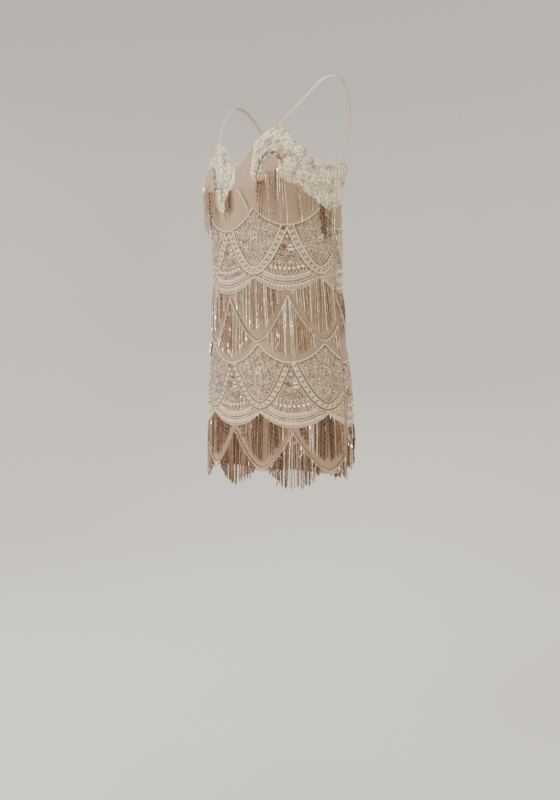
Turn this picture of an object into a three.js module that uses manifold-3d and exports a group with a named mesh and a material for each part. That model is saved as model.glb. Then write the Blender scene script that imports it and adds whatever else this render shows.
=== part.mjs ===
import * as THREE from 'three';
import Module from 'manifold-3d';

// A size S camisole dress with tiers of bead fringe, in millimetres, hanging as it is worn.
// The origin lies midway between the two strap tops, at their underside.
// +Z is up, the front faces -Y and +X is the wearer's left.

// Cloth and seams
const WALL = 1.5;
const SEAM_GAP = 0.3;
const SEAT_GAP = 0.65;
const FRONT_BAND_GAP = 1.05;
const BACK_BAND_GAP = 1.4;
const AXIS_Y = -20;
const FRONT_HALF = 212;
const BACK_HALF = 196;
const FRONT_COLUMNS = 36;
const BACK_COLUMNS = 30;
const ARC_SAMPLES = 40;
const ARC_SPREAD = 1.15;
const SLOPE_STEP = 2;

// Girth sections from the chest down: half the width, and the depth ahead of and behind the side seams
const SECTIONS = [
  { z: -60, side: 146, front: 97, back: 116 },
  { z: -105, side: 145, front: 106, back: 114 },
  { z: -145, side: 144.5, front: 112, back: 110 },
  { z: -180, side: 144, front: 117, back: 99 },
  { z: -215, side: 143, front: 120, back: 88 },
  { z: -265, side: 140, front: 118, back: 86 },
  { z: -315, side: 138, front: 118, back: 88 },
  { z: -365, side: 137, front: 117, back: 90 },
  { z: -415, side: 139, front: 115, back: 89 },
  { z: -465, side: 144, front: 111, back: 87 },
  { z: -515, side: 150, front: 108, back: 89 },
  { z: -565, side: 157, front: 107, back: 95 },
  { z: -615, side: 161, front: 104, back: 97 },
  { z: -665, side: 163, front: 101, back: 93 },
  { z: -715, side: 164, front: 99, back: 90 },
  { z: -790, side: 165, front: 97, back: 88 },
];
const FRONT_POWER = 2.3;
const BACK_POWER = 2.05;

// Cups
const CUP_X = 84;
const CUP_Z = -208;
const CUP_HEIGHT = 15;
const CUP_WIDTH = 34;
const CUP_RISE = 46;
const CUP_FALL = 32;
const CUP_TURN = 0.3;
const CUP_FADE = 130;

// Neckline, armhole and back edge: height against the distance from the centre line
const NECK = [
  { s: 0, z: -175 },
  { s: 14, z: -161 },
  { s: 30, z: -143 },
  { s: 48, z: -129 },
  { s: 68, z: -118 },
  { s: 85, z: -114 },
  { s: 101, z: -122 },
  { s: 122, z: -142 },
  { s: 140, z: -163 },
  { s: 160, z: -174 },
  { s: 212, z: -178 },
];
const BACK_EDGE = [
  { s: 0, z: -151 },
  { s: 60, z: -145 },
  { s: 92, z: -142 },
  { s: 125, z: -148 },
  { s: 160, z: -163 },
  { s: 196, z: -178 },
];
const HEM_Z = -742;
const HEM_WAVE = 4;
const SKIRT_ROWS = 12;
const BUST_ROWS = 9;
const BUST_START = 0.76;

// Tiers: each repeats fans with U-shaped ladder bands between them
const REPEAT = 131;
const MOST_REPEATS = 3;
const FRONT_PHASE = -24;
const BACK_PHASE = REPEAT / 2;
const UPPER_TOP = -294;
const LOWER_TOP = -544;
const SCALLOP_RISE = 35;
const BAND_LOW = 86;
const BAND_WIDTH = 13;
const BAND_POWER = 1.9;
const BAND_INSET = 5;
const BAND_TUCK = 1;
const LINE_WIDTH = 5;
const LINE_END = 166;
const FAN_LOW = 117;
const FAN_RISE = 26;
const FAN_POWER = 2.2;
const RIM_WIDTH = 12;
const RIM_END = 4;
const RIB_LIFT = 24;
const RIB_WIDTH = 4;
const RIB_REACH = 50;
const RIB_STEPS = 9;
const BAR_DROPS = [38, 50];
const BAR_WIDTH = 4;
const BAR_SAG = 3;
const BAR_LAP = 2;
const BAR_STEPS = 2;
const TRIM = 1.4;
const EDGE_INSET = 2;
const LONGEST_STEP = 11.5;

// Swags and fringe
const SWAG_START = 126;
const SWAG_LOW = 209;
const HEM_SWAG_LOW = 196;
const SWAG_POWER = 1.7;
const SWAG_WIDTH = 4.5;
const SWAG_STRETCH = 1.8;
const LOCK_WIDTH = 8;
const LOCK = 2.2;
const LOCK_SWING = 3;
const LONG_LOCKS = 8;
const LONG_REACH = 52;
const FAN_LOCKS = 7;
const FAN_REACH = 44;
const FAN_TIP = 237;
const HEM_TIP = 228;
const FAN_TIP_RISE = 26;
const SIDE_TIP_RISE = 34;
const SIDE_START = 131;
const LOCK_CLEAR = 18;
const SHORTEST_LOCK = 22;

// Lower edge of the lace, with the length of the locks that hang from it
const LACE_EDGE = [
  { s: 36, z: -196, drop: 0 },
  { s: 50, z: -214, drop: 0 },
  { s: 62, z: -219, drop: 56 },
  { s: 74, z: -213, drop: 64 },
  { s: 86, z: -218, drop: 60 },
  { s: 98, z: -212, drop: 66 },
  { s: 110, z: -219, drop: 58 },
  { s: 122, z: -221, drop: 62 },
  { s: 136, z: -231, drop: 44 },
  { s: 152, z: -241, drop: 28 },
  { s: 166, z: -247, drop: 24 },
  { s: 180, z: -256, drop: 52 },
  { s: 192, z: -262, drop: 54 },
  { s: 203, z: -262, drop: 48 },
];
const BUST_STRIP = 4;
const BUST_INSET = 2.5;
const LACE_INSET = 1.5;
const LACE_FIRST_COLUMN = 3;
const SHORTEST_LACE = 2;
const LACE_GAP = 0.85;
const LACE = 1.3;
const LACE_RELIEF = 1.6;
const BACK_LACE_DEPTH = 44;
const BACK_LACE_WAVE = 10;
const BACK_LACE_WAVES = 7;

// Straps
const STRAP_WIDTH = 8;
const STRAP = 1.4;
const STRAP_GAP = 0.9;
const STRAP_STATIONS = 26;
const SHOULDER_FALL = -30;
const STRAP_PATH = [
  { x: 106, y: -76, z: -60 },
  { x: 124, y: -36, z: -13 },
  { x: 130, y: -14, z: -1.5 },
  { x: 131, y: 0, z: 0.7 },
  { x: 130, y: 14, z: -1.8 },
  { x: 124, y: 38, z: -22 },
  { x: 108, y: 68, z: -76 },
];
const STRAP_FRONT_S = 85;
const STRAP_BACK_S = 86;
const STRAP_LAP = 12;
const SHOULDER_CORE = { x: 60, y: -5, z: -150 };

const wasm = await Module();
wasm.setup();

// A smooth value of one column of a table at a given place in another column
function readTable(rows, key, column, at) {
  const rising = rows[rows.length - 1][key] > rows[0][key];
  const ordered = rising ? rows : [...rows].reverse();
  const last = ordered.length - 1;
  const x = Math.min(Math.max(at, ordered[0][key]), ordered[last][key]);
  let k = 0;
  while (k < last - 1 && x > ordered[k + 1][key]) k += 1;
  const slope = (i) => {
    const a = ordered[Math.max(i - 1, 0)];
    const b = ordered[Math.min(i + 1, last)];
    return (b[column] - a[column]) / (b[key] - a[key]);
  };
  const span = ordered[k + 1][key] - ordered[k][key];
  const t = (x - ordered[k][key]) / span;
  const t2 = t * t;
  const t3 = t2 * t;
  return (2 * t3 - 3 * t2 + 1) * ordered[k][column] + (t3 - 2 * t2 + t) * span * slope(k)
    + (3 * t2 - 2 * t3) * ordered[k + 1][column] + (t3 - t2) * span * slope(k + 1);
}

const FRONT = {
  sign: 1,
  half: FRONT_HALF,
  columns: FRONT_COLUMNS,
  depth: 'front',
  power: FRONT_POWER,
  phase: FRONT_PHASE,
  bandGap: FRONT_BAND_GAP,
  sideRise: 0,
  edge: (s) => readTable(NECK, 's', 'z', Math.abs(s)),
  arcs: new Map(),
};
const BACK = {
  sign: -1,
  half: BACK_HALF,
  columns: BACK_COLUMNS,
  depth: 'back',
  power: BACK_POWER,
  phase: BACK_PHASE,
  bandGap: BACK_BAND_GAP,
  sideRise: SIDE_TIP_RISE,
  edge: (s) => readTable(BACK_EDGE, 's', 'z', Math.abs(s)),
  arcs: new Map(),
};

// A quarter of the girth at one height, as points with their distance from the centre line
function quarterArc(panel, z) {
  const key = Math.round(z * 100);
  if (panel.arcs.has(key)) return panel.arcs.get(key);
  const side = readTable(SECTIONS, 'z', 'side', z);
  const depth = readTable(SECTIONS, 'z', panel.depth, z);
  const arc = [];
  for (let k = 0; k <= ARC_SAMPLES; k += 1) {
    const angle = (Math.PI / 2) * (k / ARC_SAMPLES) ** ARC_SPREAD;
    const x = side * Math.sin(angle) ** (2 / panel.power);
    const y = depth * Math.max(Math.cos(angle), 0) ** (2 / panel.power);
    const before = arc[k - 1];
    const length = before ? before.length + Math.hypot(x - before.x, y - before.y) : 0;
    arc.push({ x, y, length });
  }
  panel.arcs.set(key, arc);
  return arc;
}

// A point of the body line: s is the distance from the centre line, as cut at the waist
function bodyPoint(panel, s, z) {
  const arc = quarterArc(panel, z);
  const want = (Math.min(Math.abs(s) / panel.half, 1)) * arc[ARC_SAMPLES].length;
  let k = 1;
  while (k < ARC_SAMPLES && arc[k].length < want) k += 1;
  const t = (want - arc[k - 1].length) / (arc[k].length - arc[k - 1].length);
  const x = arc[k - 1].x + t * (arc[k].x - arc[k - 1].x);
  const y = arc[k - 1].y + t * (arc[k].y - arc[k - 1].y);
  const point = new THREE.Vector3(Math.sign(s) * x, AXIS_Y - panel.sign * y, z);
  if (panel === FRONT) {
    const across = (x - CUP_X) / CUP_WIDTH;
    const up = (z - CUP_Z) / (z > CUP_Z ? CUP_RISE : CUP_FALL);
    const fade = 1 - THREE.MathUtils.smoothstep(Math.abs(s), CUP_FADE, FRONT_HALF - 2 * EDGE_INSET);
    const bulge = CUP_HEIGHT * fade * Math.exp(-(across * across + up * up) / 2);
    point.x += Math.sign(s) * bulge * CUP_TURN;
    point.y -= bulge;
  }
  return point;
}

// The direction square to the cloth, away from the body
function outward(panel, s, z) {
  const step = SLOPE_STEP;
  const limit = panel.half - step;
  const at = Math.min(Math.max(s, -limit), limit);
  const along = bodyPoint(panel, at + step, z).sub(bodyPoint(panel, at - step, z));
  const up = bodyPoint(panel, at, z + step).sub(bodyPoint(panel, at, z - step));
  return along.cross(up).normalize().multiplyScalar(panel.sign);
}

// The cloth's lower edge, which waves a little with the tiers
const hemAt = (panel, s) => HEM_Z + HEM_WAVE * Math.cos((2 * Math.PI * (s - panel.phase)) / REPEAT);

// Heights of the panel's rows at one column, from the hem to the top edge
function rowShare(j) {
  if (j <= SKIRT_ROWS) return (BUST_START * j) / SKIRT_ROWS;
  return BUST_START + ((1 - BUST_START) * (j - SKIRT_ROWS)) / BUST_ROWS;
}

const ROWS = SKIRT_ROWS + BUST_ROWS;

function panelGrid(panel) {
  const reach = panel.half - SEAM_GAP / 2;
  const lines = [];
  for (let i = 0; i <= panel.columns; i += 1) {
    const s = reach * ((2 * i) / panel.columns - 1);
    const low = hemAt(panel, s);
    const high = panel.edge(s);
    const points = [];
    for (let j = 0; j <= ROWS; j += 1) {
      const z = low + rowShare(j) * (high - low);
      points.push({ z, point: bodyPoint(panel, s, z), out: outward(panel, s, z) });
    }
    lines.push({ s, points });
  }
  return lines;
}

FRONT.lines = panelGrid(FRONT);
BACK.lines = panelGrid(BACK);

// The panel's outer face, flat facets and all, at a place on it, moved out by a distance
function onPanel(panel, s, z, lift) {
  const { lines } = panel;
  const reach = lines[lines.length - 1].s;
  const place = ((Math.min(Math.max(s, -reach), reach) + reach) / (2 * reach)) * panel.columns;
  const i = Math.min(Math.floor(place), panel.columns - 1);
  const sides = [lines[i], lines[i + 1]].map((line) => {
    const { points } = line;
    let j = 1;
    while (j < ROWS && points[j].z < z) j += 1;
    const t = (z - points[j - 1].z) / (points[j].z - points[j - 1].z);
    return points[j - 1].point.clone().lerp(points[j].point, t);
  });
  return sides[0].lerp(sides[1], place - i).addScaledVector(outward(panel, s, z), lift);
}

// A closed wall over the kept cells of a grid, from two functions that give its inner and outer points
function gridWall(columns, rows, inner, outer, turned, kept) {
  const position = [];
  const index = [];
  const seen = new Map();
  const vertex = (i, j, layer) => {
    const key = `${i},${j},${layer}`;
    if (!seen.has(key)) {
      const point = layer ? outer(i, j) : inner(i, j);
      seen.set(key, position.length / 3);
      position.push(point.x, point.y, point.z);
    }
    return seen.get(key);
  };
  const quad = (a, b, c, d) => {
    const corners = turned ? [a, d, c, b] : [a, b, c, d];
    index.push(corners[0], corners[1], corners[2], corners[0], corners[2], corners[3]);
  };
  const isKept = (i, j) => i >= 0 && j >= 0 && i < columns && j < rows && kept(i, j);
  for (let i = 0; i < columns; i += 1) {
    for (let j = 0; j < rows; j += 1) {
      if (!isKept(i, j)) continue;
      const corner = [[i, j], [i + 1, j], [i + 1, j + 1], [i, j + 1]];
      const face = corner.map(([a, b]) => vertex(a, b, 1));
      const back = corner.map(([a, b]) => vertex(a, b, 0));
      quad(face[0], face[1], face[2], face[3]);
      quad(back[3], back[2], back[1], back[0]);
      if (!isKept(i, j - 1)) quad(back[0], back[1], face[1], face[0]);
      if (!isKept(i + 1, j)) quad(back[1], back[2], face[2], face[1]);
      if (!isKept(i, j + 1)) quad(back[2], back[3], face[3], face[2]);
      if (!isKept(i - 1, j)) quad(back[3], back[0], face[0], face[3]);
    }
  }
  const geometry = new THREE.BufferGeometry();
  geometry.setAttribute('position', new THREE.Float32BufferAttribute(position, 3));
  geometry.setIndex(index);
  return geometry;
}

const every = () => true;

function panelWall(panel) {
  const place = (i, j) => panel.lines[i].points[j];
  const inner = (i, j) => place(i, j).point.clone().addScaledVector(place(i, j).out, -WALL);
  const outer = (i, j) => place(i, j).point.clone();
  return gridWall(panel.columns, ROWS, inner, outer, panel.sign < 0, every);
}

// Places of the fans and of the ladder bands on one panel
function centres(panel, shift) {
  const found = [];
  for (let k = -MOST_REPEATS; k <= MOST_REPEATS; k += 1) {
    const s = panel.phase + (k + shift) * REPEAT;
    if (Math.abs(s) < panel.half + REPEAT / 2) found.push(s);
  }
  return found;
}

const fromFan = (panel, s) => {
  const turns = (s - panel.phase) / REPEAT;
  return Math.abs(turns - Math.round(turns)) * REPEAT;
};
const fromBand = (panel, s) => REPEAT / 2 - fromFan(panel, s);

const scallopZ = (panel, top, s) => top + SCALLOP_RISE * ((2 * fromFan(panel, s)) / REPEAT) ** 2;
const rimZ = (panel, top, s) => top - FAN_LOW + FAN_RISE * ((2 * fromFan(panel, s)) / REPEAT) ** FAN_POWER;
const swagZ = (panel, top, low, s) => {
  const share = Math.abs((2 * fromBand(panel, s)) / REPEAT) ** SWAG_POWER;
  return top - low + (low - SWAG_START) * share;
};

// A flat ribbon of even width along a line of places (s, z), as a solid to be joined before it is laid
function flatRibbon(places, width) {
  const last = places.length - 1;
  const across = places.map((place, k) => {
    const a = places[Math.max(k - 1, 0)];
    const b = places[Math.min(k + 1, last)];
    return new THREE.Vector2(-(b.z - a.z), b.s - a.s).normalize().multiplyScalar(width / 2);
  });
  const at = (i, j, height) => {
    const way = j ? 1 : -1;
    return new THREE.Vector3(places[i].s + way * across[i].x, places[i].z + way * across[i].y, height);
  };
  return gridWall(last, 1, (i, j) => at(i, j, 0), (i, j) => at(i, j, TRIM), false, every);
}

// A closed mesh as a solid that others can be joined to
function toSolid(geometry) {
  const vertProperties = new Float32Array(geometry.attributes.position.array);
  const triVerts = new Uint32Array(geometry.index.array);
  return new wasm.Manifold(new wasm.Mesh({ numProp: 3, vertProperties, triVerts }));
}

// Lays a flat solid on a panel: its first two axes become the place, its third the height
function layOn(panel, solid) {
  const mesh = solid.getMesh();
  const position = [];
  for (let k = 0; k < mesh.vertProperties.length; k += mesh.numProp) {
    const [s, z, height] = mesh.vertProperties.slice(k, k + 3);
    const point = onPanel(panel, s, z, panel.bandGap + height);
    position.push(point.x, point.y, point.z);
  }
  const index = Array.from(mesh.triVerts);
  if (panel.sign < 0) index.reverse();
  const geometry = new THREE.BufferGeometry();
  geometry.setAttribute('position', new THREE.Float32BufferAttribute(position, 3));
  geometry.setIndex(index);
  return geometry;
}

// Even steps from one value to another, both ends with them
function steps(from, to, count) {
  return Array.from({ length: count + 1 }, (_, k) => from + ((to - from) * k) / count);
}

// One tier's scallop line, ladder bands, fan ribs and bars, joined into one piece on a panel
function tierBands(panel, top, lineReach) {
  const limit = panel.half - EDGE_INSET;
  const inside = (list, reach) => list.filter((s) => Math.abs(s) < reach);
  const ribbons = [];
  const turns = inside([...centres(panel, 0), ...centres(panel, 0.5)], lineReach);
  const knots = [-lineReach, ...turns, lineReach];
  knots.sort((a, b) => a - b);
  const line = knots.slice(1).flatMap((s, k) => {
    const count = Math.ceil((s - knots[k]) / LONGEST_STEP);
    return steps(knots[k], s, count).slice(k ? 1 : 0);
  });
  ribbons.push(flatRibbon(line.map((s) => ({ s, z: scallopZ(panel, top, s) })), LINE_WIDTH));
  const lift = BAND_WIDTH / 2;
  for (const centre of centres(panel, 0.5)) {
    const reach = REPEAT / 2 - BAND_INSET;
    const from = Math.max(centre - reach, -limit);
    const to = Math.min(centre + reach, limit);
    if (to - from < BAND_WIDTH) continue;
    const places = steps(from, to, Math.ceil((to - from) / LONGEST_STEP)).map((s) => {
      const share = Math.abs((s - centre) / reach) ** BAND_POWER;
      return { s, z: top - BAND_LOW + lift + (BAND_LOW - lift - BAND_TUCK) * share };
    });
    ribbons.push(flatRibbon(places, BAND_WIDTH));
  }
  for (const centre of inside(centres(panel, 0), limit)) {
    const from = Math.max(centre - RIB_REACH, -limit);
    const to = Math.min(centre + RIB_REACH, limit);
    const rib = steps(from, to, RIB_STEPS).map((s) => ({ s, z: rimZ(panel, top, s) + RIB_LIFT }));
    ribbons.push(flatRibbon(rib, RIB_WIDTH));
    for (const drop of BAR_DROPS) {
      const share = ((BAND_LOW - drop) / BAND_LOW) ** (1 / BAND_POWER);
      const half = (REPEAT / 2) * (1 - share) + BAR_LAP;
      const bar = steps(Math.max(centre - half, -limit), Math.min(centre + half, limit), BAR_STEPS);
      const sag = (s) => BAR_SAG * (1 - ((s - centre) / half) ** 2);
      ribbons.push(flatRibbon(bar.map((s) => ({ s, z: top - drop - sag(s) })), BAR_WIDTH));
    }
  }
  const joined = ribbons.map(toSolid).reduce((sum, next) => sum.add(next));
  return layOn(panel, joined);
}

// A strip with locks hanging from it: locks are given by their centre and the height of their tips
function comb(panel, limits, locks, stripTop, stripLow) {
  const columns = [];
  const fill = (from, to) => {
    const count = Math.max(Math.ceil((to - from) / LONGEST_STEP), 1);
    for (const s of steps(from, to, count).slice(1)) columns.push({ s, tip: null });
  };
  let from = limits.from;
  for (const lock of locks) {
    fill(from, lock.s - LOCK_WIDTH / 2);
    from = lock.s + LOCK_WIDTH / 2;
    columns.push({ s: from, tip: lock.tip });
  }
  fill(from, limits.to);
  const tipOf = (i) => (columns[i] && columns[i].tip) || (columns[i - 1] && columns[i - 1].tip);
  const point = (i, j, extra) => {
    const s = i ? columns[i - 1].s : limits.from;
    const z = [tipOf(i), stripLow(s), stripTop(s)][j];
    return onPanel(panel, s, z, SEAT_GAP + (j ? 0 : LOCK_SWING) + extra);
  };
  const inner = (i, j) => point(i, j, 0);
  const outer = (i, j) => point(i, j, j === 2 ? TRIM : LOCK);
  const kept = (i, j) => j === 1 || columns[i].tip !== null;
  return gridWall(columns.length, 2, inner, outer, panel.sign < 0, kept);
}

// Centres of evenly spaced locks either side of a middle, kept clear of the panel's ends
function lockPlaces(panel, middles, count, reach) {
  const limit = panel.half - EDGE_INSET - LOCK_WIDTH;
  return middles
    .flatMap((middle) => steps(middle - reach, middle + reach, count - 1))
    .filter((s) => Math.abs(s) < limit)
    .sort((a, b) => a - b);
}

function panelLimits(panel) {
  return { from: EDGE_INSET - panel.half, to: panel.half - EDGE_INSET };
}

// The rim below a tier's fans, with the long locks that hang between its swags
function rimFringe(panel, top, low) {
  const rimLow = (s) => rimZ(panel, top, s);
  const rimTop = (s) => {
    const share = ((2 * fromFan(panel, s)) / REPEAT) ** 2;
    return rimLow(s) + RIM_WIDTH + (RIM_END - RIM_WIDTH) * share;
  };
  const locks = lockPlaces(panel, centres(panel, 0.5), LONG_LOCKS, LONG_REACH)
    .map((s) => {
      const edges = [s - LOCK_WIDTH / 2, s + LOCK_WIDTH / 2];
      const tip = Math.max(...edges.map((e) => swagZ(panel, top, low, e))) + LOCK_CLEAR;
      return { s, tip };
    })
    .filter((lock) => rimLow(lock.s) - lock.tip > SHORTEST_LOCK);
  return comb(panel, panelLimits(panel), locks, rimTop, rimLow);
}

// The swag line of a tier, with the locks that hang from it below each fan
function swagFringe(panel, top, low, tip) {
  const half = (s) => {
    const slope = swagZ(panel, top, low, s + 1) - swagZ(panel, top, low, s - 1);
    return (SWAG_WIDTH / 2) * Math.min(Math.hypot(1, slope / 2), SWAG_STRETCH);
  };
  const swagTop = (s) => swagZ(panel, top, low, s) + half(s);
  const swagLow = (s) => swagZ(panel, top, low, s) - half(s);
  const locks = lockPlaces(panel, centres(panel, 0), FAN_LOCKS, FAN_REACH)
    .map((s) => ({ s, tip: top - tip + FAN_TIP_RISE * (fromFan(panel, s) / FAN_REACH) ** 2
      + (Math.abs(s) > SIDE_START ? panel.sideRise : 0) }))
    .filter((lock) => swagLow(lock.s) - lock.tip > SHORTEST_LOCK);
  return comb(panel, panelLimits(panel), locks, swagTop, swagLow);
}

const laceEdge = (s) => readTable(LACE_EDGE, 's', 'z', Math.abs(s));

// The short fringe under the lace of one cup, on along it to the side seam
function bustFringe(side) {
  const rows = LACE_EDGE.filter((row) => row.drop > 0);
  const locks = rows
    .map((row) => ({ s: side * row.s, tip: row.z - row.drop }))
    .sort((a, b) => a.s - b.s);
  const inner = rows[0].s - LOCK_WIDTH;
  const outer = FRONT_HALF - EDGE_INSET;
  const ends = [side * inner, side * outer];
  const limits = { from: Math.min(...ends), to: Math.max(...ends) };
  const stripTop = (s) => laceEdge(s) - BUST_INSET;
  const stripLow = (s) => laceEdge(s) - BUST_INSET - BUST_STRIP;
  return comb(FRONT, limits, locks, stripTop, stripLow);
}

// A piece of lace over some columns of a panel, from its top edge down to a height at each place
function lacePiece(panel, first, last, low) {
  const line = (i) => panel.lines[first + i];
  const reaches = (i, j) => line(i).points[j].z > low(line(i).s) + SHORTEST_LACE;
  const kept = (i, j) => reaches(i, j + 1) && reaches(i + 1, j + 1);
  const columns = last - first;
  const point = (i, j, extra) => {
    const { s, points } = line(i);
    const z = j === ROWS ? points[j].z - LACE_INSET : Math.max(points[j].z, low(s));
    return onPanel(panel, s, z, LACE_GAP + extra);
  };
  const edge = (i, j) => i === 0 || i === columns || j === ROWS || !reaches(i, j);
  const height = (i, j) => LACE + (!edge(i, j) && (i + j) % 2 ? LACE_RELIEF : 0);
  const outer = (i, j) => point(i, j, height(i, j));
  return gridWall(columns, ROWS, (i, j) => point(i, j, 0), outer, panel.sign < 0, kept);
}

function frontLace(side) {
  const near = FRONT_COLUMNS / 2 + side * LACE_FIRST_COLUMN;
  const far = FRONT_COLUMNS / 2 + (side * FRONT_COLUMNS) / 2;
  return lacePiece(FRONT, Math.min(near, far), Math.max(near, far), laceEdge);
}

function backLace() {
  const low = (s) => {
    const wave = Math.abs(Math.sin((Math.PI * BACK_LACE_WAVES * (s + BACK_HALF)) / (2 * BACK_HALF)));
    return BACK.edge(s) - BACK_LACE_DEPTH - BACK_LACE_WAVE * wave;
  };
  return lacePiece(BACK, 0, BACK_COLUMNS, low);
}

// A strap lies inside the front's top edge, runs over the shoulder and lies inside the back's top edge
function strap(side) {
  const inside = -WALL - STRAP_GAP - STRAP / 2;
  const end = (panel, s, below) => {
    const z = panel.edge(s) - below;
    return bodyPoint(panel, side * s, z).addScaledVector(outward(panel, side * s, z), inside);
  };
  const over = STRAP_PATH.map((row) => new THREE.Vector3(side * row.x, row.y, row.z));
  const path = new THREE.CatmullRomCurve3([
    end(FRONT, STRAP_FRONT_S, STRAP_LAP),
    end(FRONT, STRAP_FRONT_S, 0),
    ...over,
    end(BACK, STRAP_BACK_S, 0),
    end(BACK, STRAP_BACK_S, STRAP_LAP),
  ]);
  const core = new THREE.Vector3(side * SHOULDER_CORE.x, SHOULDER_CORE.y, SHOULDER_CORE.z);
  const stations = path.getSpacedPoints(STRAP_STATIONS).map((point, k) => {
    const along = path.getTangentAt(k / STRAP_STATIONS);
    const [panel, s] = point.y < 0 ? [FRONT, STRAP_FRONT_S] : [BACK, STRAP_BACK_S];
    const shoulder = point.clone().sub(core).normalize();
    const share = THREE.MathUtils.smoothstep(point.z, panel.edge(s), SHOULDER_FALL);
    const out = outward(panel, side * s, point.z).lerp(shoulder, share);
    out.addScaledVector(along, -out.dot(along)).normalize();
    const across = along.clone().cross(out).normalize();
    return { point, out, across };
  });
  const at = (i, j, way) => stations[j].point.clone()
    .addScaledVector(stations[j].across, (i ? 0.5 : -0.5) * STRAP_WIDTH)
    .addScaledVector(stations[j].out, (way * STRAP) / 2);
  return gridWall(1, STRAP_STATIONS, (i, j) => at(i, j, -1), (i, j) => at(i, j, 1), false, every);
}

const dress = new THREE.Group();

function add(name, geometry, color, roughness, metalness) {
  geometry.computeVertexNormals();
  const material = new THREE.MeshStandardMaterial({ color, roughness, metalness });
  const mesh = new THREE.Mesh(geometry, material);
  mesh.name = name;
  dress.add(mesh);
}

const CLOTH_COLOR = 0xd9c3ae;
const SATIN_COLOR = 0xdccab8;
const LACE_COLOR = 0xe6dcc6;
const BAND_COLOR = 0xdcc9ad;
const BEAD_COLOR = 0xb98f78;

add('front_panel', panelWall(FRONT), CLOTH_COLOR, 0.8, 0);
add('back_panel', panelWall(BACK), CLOTH_COLOR, 0.8, 0);
for (const [name, side] of [['left', 1], ['right', -1]]) {
  add(`strap_${name}`, strap(side), SATIN_COLOR, 0.45, 0);
  add(`lace_${name}`, frontLace(side), LACE_COLOR, 0.75, 0);
  add(`bust_fringe_${name}`, bustFringe(side), BEAD_COLOR, 0.35, 0.2);
}
add('lace_back', backLace(), LACE_COLOR, 0.75, 0);
for (const [name, panel] of [['front', FRONT], ['back', BACK]]) {
  const reach = panel.half - EDGE_INSET;
  const lineReach = panel === FRONT ? LINE_END : reach;
  add(`upper_bands_${name}`, tierBands(panel, UPPER_TOP, lineReach), BAND_COLOR, 0.5, 0.1);
  add(`upper_fringe_${name}`, rimFringe(panel, UPPER_TOP, SWAG_LOW), BEAD_COLOR, 0.35, 0.2);
  add(`upper_swag_${name}`, swagFringe(panel, UPPER_TOP, SWAG_LOW, FAN_TIP), BEAD_COLOR, 0.35, 0.2);
  add(`lower_bands_${name}`, tierBands(panel, LOWER_TOP, reach), BAND_COLOR, 0.5, 0.1);
  add(`lower_fringe_${name}`, rimFringe(panel, LOWER_TOP, HEM_SWAG_LOW), BEAD_COLOR, 0.35, 0.2);
  add(`hem_swag_${name}`, swagFringe(panel, LOWER_TOP, HEM_SWAG_LOW, HEM_TIP), BEAD_COLOR, 0.35, 0.2);
}

export default dress;
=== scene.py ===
"""Looks of a camisole dress with bead fringe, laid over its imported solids."""

import math

import bmesh
import bpy
import numpy as np
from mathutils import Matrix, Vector


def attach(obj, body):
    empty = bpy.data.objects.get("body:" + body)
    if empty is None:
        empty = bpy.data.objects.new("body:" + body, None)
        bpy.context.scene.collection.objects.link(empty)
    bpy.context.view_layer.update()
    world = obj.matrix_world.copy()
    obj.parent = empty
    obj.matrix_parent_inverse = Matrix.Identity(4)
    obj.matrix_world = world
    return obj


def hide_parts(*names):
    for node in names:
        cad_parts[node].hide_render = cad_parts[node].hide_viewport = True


bl_info = {
    "name": "Camisole dress finish",
    "version": (1, 0, 0),
    "blender": (4, 5, 0),
    "location": "View3D > Sidebar > Dress",
    "description": "Cloth, straps, lace, bead embroidery and bead fringe of a camisole dress",
    "category": "Mesh",
}

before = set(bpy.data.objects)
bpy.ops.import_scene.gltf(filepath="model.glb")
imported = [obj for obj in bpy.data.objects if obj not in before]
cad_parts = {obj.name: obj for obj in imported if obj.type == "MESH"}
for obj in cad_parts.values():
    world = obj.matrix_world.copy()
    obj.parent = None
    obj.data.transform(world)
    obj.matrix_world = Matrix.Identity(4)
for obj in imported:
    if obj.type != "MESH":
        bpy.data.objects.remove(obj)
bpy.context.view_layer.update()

# The cut of the dress, in mm: s is the distance from the centre line, z the height
MM = 0.001
AXIS_Y = -20.0
ROW_STEP = 5.0
LOWEST = -800.0
HIGHEST = -60.0
ARC_SAMPLES = 40
ARC_SPREAD = 1.15
GIRTH_SAMPLES = 81
SLOPE_STEP = 2.0

# Girth sections: height, half the width, depth ahead of and behind the side seams
SECTIONS = np.array([
    (-790, 165, 97, 88),
    (-715, 164, 99, 90),
    (-665, 163, 101, 93),
    (-615, 161, 104, 97),
    (-565, 157, 107, 95),
    (-515, 150, 108, 89),
    (-465, 144, 111, 87),
    (-415, 139, 115, 89),
    (-365, 137, 117, 90),
    (-315, 138, 118, 88),
    (-265, 140, 118, 86),
    (-215, 143, 120, 88),
    (-180, 144, 117, 99),
    (-145, 144.5, 112, 110),
    (-105, 145, 106, 114),
    (-60, 146, 97, 116),
])

# Top edges: distance from the centre line, height
NECK = np.array([
    (0, -175), (14, -161), (30, -143), (48, -129), (68, -118), (85, -114),
    (101, -122), (122, -142), (140, -163), (160, -174), (212, -178),
], float)
BACK_EDGE = np.array([
    (0, -151), (60, -145), (92, -142), (125, -148), (160, -163), (196, -178),
], float)

# Lower edge of the lace: distance from the centre line, height, length of the strands below it
LACE_EDGE = np.array([
    (36, -196, 0), (50, -214, 0), (62, -219, 56), (74, -213, 64), (86, -218, 60), (98, -212, 66),
    (110, -219, 58), (122, -221, 62), (136, -231, 44), (152, -241, 28), (166, -247, 24),
    (180, -256, 52), (192, -262, 54), (203, -262, 48), (212, -262, 44),
], float)

# Lower edge of the lace between the wearer's right cup and the V
LACE_PATCH = np.array([
    (-70, -224), (-62, -236), (-52, -248), (-44, -254), (-36, -251),
    (-28, -238), (-20, -226), (-12, -213), (-6, -203),
], float)

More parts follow.
